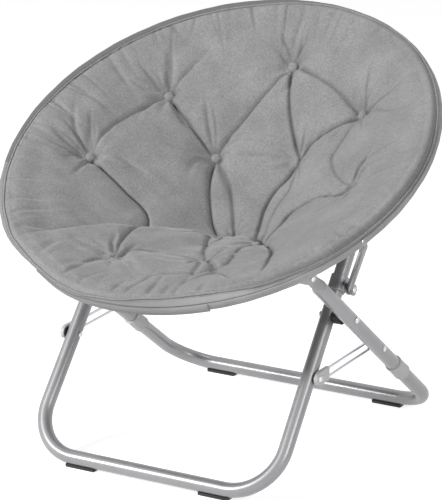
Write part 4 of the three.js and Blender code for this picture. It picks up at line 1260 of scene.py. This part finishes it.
def arc_curve(name, start, end, reach, turn_of):
    """A fine polyline along the rim, at a turn which changes round the hoop."""
    data = bpy.data.curves.new(name, "CURVE")
    data.dimensions = "3D"
    spline = data.splines.new("POLY")
    steps = int(abs(end - start) / math.radians(RIM_STEP))
    spline.points.add(steps)
    for i in range(steps + 1):
        angle = start + (end - start) * i / steps
        spline.points[i].co = (*ring_place(angle, reach, turn_of(angle)), 1)
    curve = bpy.data.objects.new(name, data)
    scene.collection.objects.link(curve)
    return curve


def stitch_tree():
    """Geometry nodes: stitches of thread laid end to end along a curve."""
    tree = bpy.data.node_groups.new("stitches_along_seam", "GeometryNodeTree")
    face = tree.interface
    face.new_socket("Geometry", in_out="INPUT", socket_type="NodeSocketGeometry")
    for name, size in (("Stitch pitch", 5), ("Stitch length", 3.6), ("Thread radius", 0.45)):
        socket = face.new_socket(name, in_out="INPUT", socket_type="NodeSocketFloat")
        socket.default_value = size * MM
    face.new_socket("Thread", in_out="INPUT", socket_type="NodeSocketMaterial")
    face.new_socket("Geometry", in_out="OUTPUT", socket_type="NodeSocketGeometry")
    given = add(tree, "NodeGroupInput")
    points = add(tree, "GeometryNodeCurveToPoints", {
        "Curve": given.outputs["Geometry"], "Length": given.outputs["Stitch pitch"]}, mode="LENGTH")
    bead = add(tree, "GeometryNodeMeshUVSphere", {
        "Segments": 8, "Rings": 6, "Radius": given.outputs["Thread radius"]})
    ratio = add(tree, "ShaderNodeMath", {
        0: given.outputs["Stitch length"], 1: given.outputs["Thread radius"]}, operation="DIVIDE")
    half = add(tree, "ShaderNodeMath", {0: ratio.outputs[0], 1: 0.5}, operation="MULTIPLY")
    size = add(tree, "ShaderNodeCombineXYZ", {"X": 1.0, "Y": 1.0, "Z": half.outputs[0]})
    laid = add(tree, "GeometryNodeInstanceOnPoints", {
        "Points": points.outputs["Points"], "Instance": bead.outputs["Mesh"],
        "Rotation": points.outputs["Rotation"], "Scale": size.outputs[0]})
    real = add(tree, "GeometryNodeRealizeInstances", {"Geometry": laid.outputs[0]})
    smooth = add(tree, "GeometryNodeSetShadeSmooth", {"Geometry": real.outputs[0]})
    dyed = add(tree, "GeometryNodeSetMaterial", {
        "Geometry": smooth.outputs[0], "Material": given.outputs["Thread"]})
    add(tree, "NodeGroupOutput", {"Geometry": dyed.outputs[0]})
    return tree


def sew(name, curve, tree, body):
    """Stitches along a curve, as one plain mesh riding on a body."""
    bed = bpy.data.objects.new(name, bpy.data.meshes.new(name))
    holder = curve.modifiers.new("stitches", "NODES")
    holder.node_group = tree
    sockets = {item.name: item.identifier for item in tree.interface.items_tree if item.in_out == "INPUT"}
    holder[sockets["Thread"]] = THREAD
    bpy.context.view_layer.update()
    seen = curve.evaluated_get(bpy.context.evaluated_depsgraph_get())
    mesh = bpy.data.meshes.new_from_object(seen)
    curve.modifiers.clear()
    bed.data = mesh
    if not mesh.materials:
        mesh.materials.append(THREAD)
    scene.collection.objects.link(bed)
    bpy.data.objects.remove(curve)
    return dress(bed, body, slot="rim_cloth")


PIPING_RADIUS, PIPING_REACH, PIPING_TURN = 1.7, COVER_RADIUS + 1.2, math.radians(9)
STITCH_REACH, STITCH_TURN, STITCH_INSET = COVER_RADIUS - 0.3, math.radians(26), 0.004
FLAP_STEPS = 32


def make_rim():
    tree = stitch_tree()
    for half, body, cloth in (("front", "hoop_front", RIM_CLOTH), ("rear", "hoop_rear", SHADED_RIM_CLOTH)):
        start, end = rim_arc(half == "front")
        steps = int(math.degrees(end - start) / RIM_STEP)
        cover = ring_tube(f"rim_sleeve_{half}", start, end, sleeve_outline, cloth, steps)
        dress(cover, body, [f"rim_cover_{half}"], "rim_cloth")
        cord = bead_outline(PIPING_RADIUS, PIPING_REACH, lambda angle: edge_turn(angle) - PIPING_TURN)
        dress(ring_tube(f"rim_piping_{half}", start, end, cord, VELVET, steps), body, slot="velvet")
        line = arc_curve(f"edge_line_{half}", start + STITCH_INSET, end - STITCH_INSET, STITCH_REACH,
                         lambda angle: edge_turn(angle) - STITCH_TURN)
        sew(f"rim_edge_stitches_{half}", line, tree, body)
    flap = ring_tube("rim_flap", FLAP_START, FLAP_END, flap_outline, RIM_CLOTH, FLAP_STEPS)
    dress(flap, "hoop_front", slot="rim_cloth")


# Studio: pale floor, white surround, soft light

LIGHT_TARGET = Vector((0, 0, 0.45))
# Each panel's name, place, edge length and power
PANELS = [("key_panel", (-1.9, -3.0, 2.1), 0.6, 112), ("right_panel", (2.9, -1.2, 1.7), 0.9, 22),
          ("top_panel", (-0.3, 0.3, 3.4), 0.9, 16)]
FLOOR_HALF = 14


def seen_directly(tree, *kinds):
    """1 for a ray of one of those kinds, such as the camera's own, and 0 for light on the chair."""
    rays = add(tree, "ShaderNodeLightPath")
    seen = rays.outputs[kinds[0]]
    for kind in kinds[1:]:
        seen = add(tree, "ShaderNodeMath", {0: seen, 1: rays.outputs[kind]}, operation="MAXIMUM").outputs[0]
    return seen


def make_studio():
    world = bpy.data.worlds.new("studio")
    scene.world = world
    world.use_nodes = True
    tree = world.node_tree
    tree.nodes.clear()
    clear = seen_directly(tree, "Is Camera Ray", "Is Glossy Ray", "Is Transmission Ray")
    fill = add(tree, "ShaderNodeBackground", {"Color": (1, 1, 1, 1), "Strength": 0.2})
    white = add(tree, "ShaderNodeBackground", {"Color": (1, 1, 1, 1), "Strength": 1.0})
    mixed = add(tree, "ShaderNodeMixShader", {0: clear, 1: fill.outputs[0], 2: white.outputs[0]})
    add(tree, "ShaderNodeOutputWorld", {"Surface": mixed.outputs[0]})

    floor_material, tree = blank_material("studio_floor")
    seen = seen_directly(tree, "Is Camera Ray", "Is Glossy Ray")
    matt = add(tree, "ShaderNodeBsdfDiffuse", {"Color": linear("#e8e8e8")})
    glow = add(tree, "ShaderNodeEmission", {"Color": (1, 1, 1, 1), "Strength": 0.75})
    lit = add(tree, "ShaderNodeAddShader", {0: matt.outputs[0], 1: glow.outputs[0]})
    mixed = add(tree, "ShaderNodeMixShader", {0: seen, 1: matt.outputs[0], 2: lit.outputs[0]})
    add(tree, "ShaderNodeOutputMaterial", {"Surface": mixed.outputs[0]})
    corners = [(x * FLOOR_HALF, y * FLOOR_HALF, 0) for x, y in ((-1, -1), (1, -1), (1, 1), (-1, 1))]
    floor = new_object("studio_floor", corners, [(0, 1, 2, 3)], floor_material, smooth=False)

    for name, place, size, power in PANELS:
        data = bpy.data.lights.new(name, "AREA")
        data.size = size
        data.energy = power
        lamp = bpy.data.objects.new(name, data)
        lamp.location = place
        lamp.rotation_euler = (LIGHT_TARGET - Vector(place)).to_track_quat("-Z", "Y").to_euler()
        scene.collection.objects.link(lamp)
    scene.view_settings.view_transform = "Standard"


make_front_frame()
make_rear_frame()
make_struts()
make_wire_braces()
make_fittings()
make_cushion()
make_rim()
make_studio()
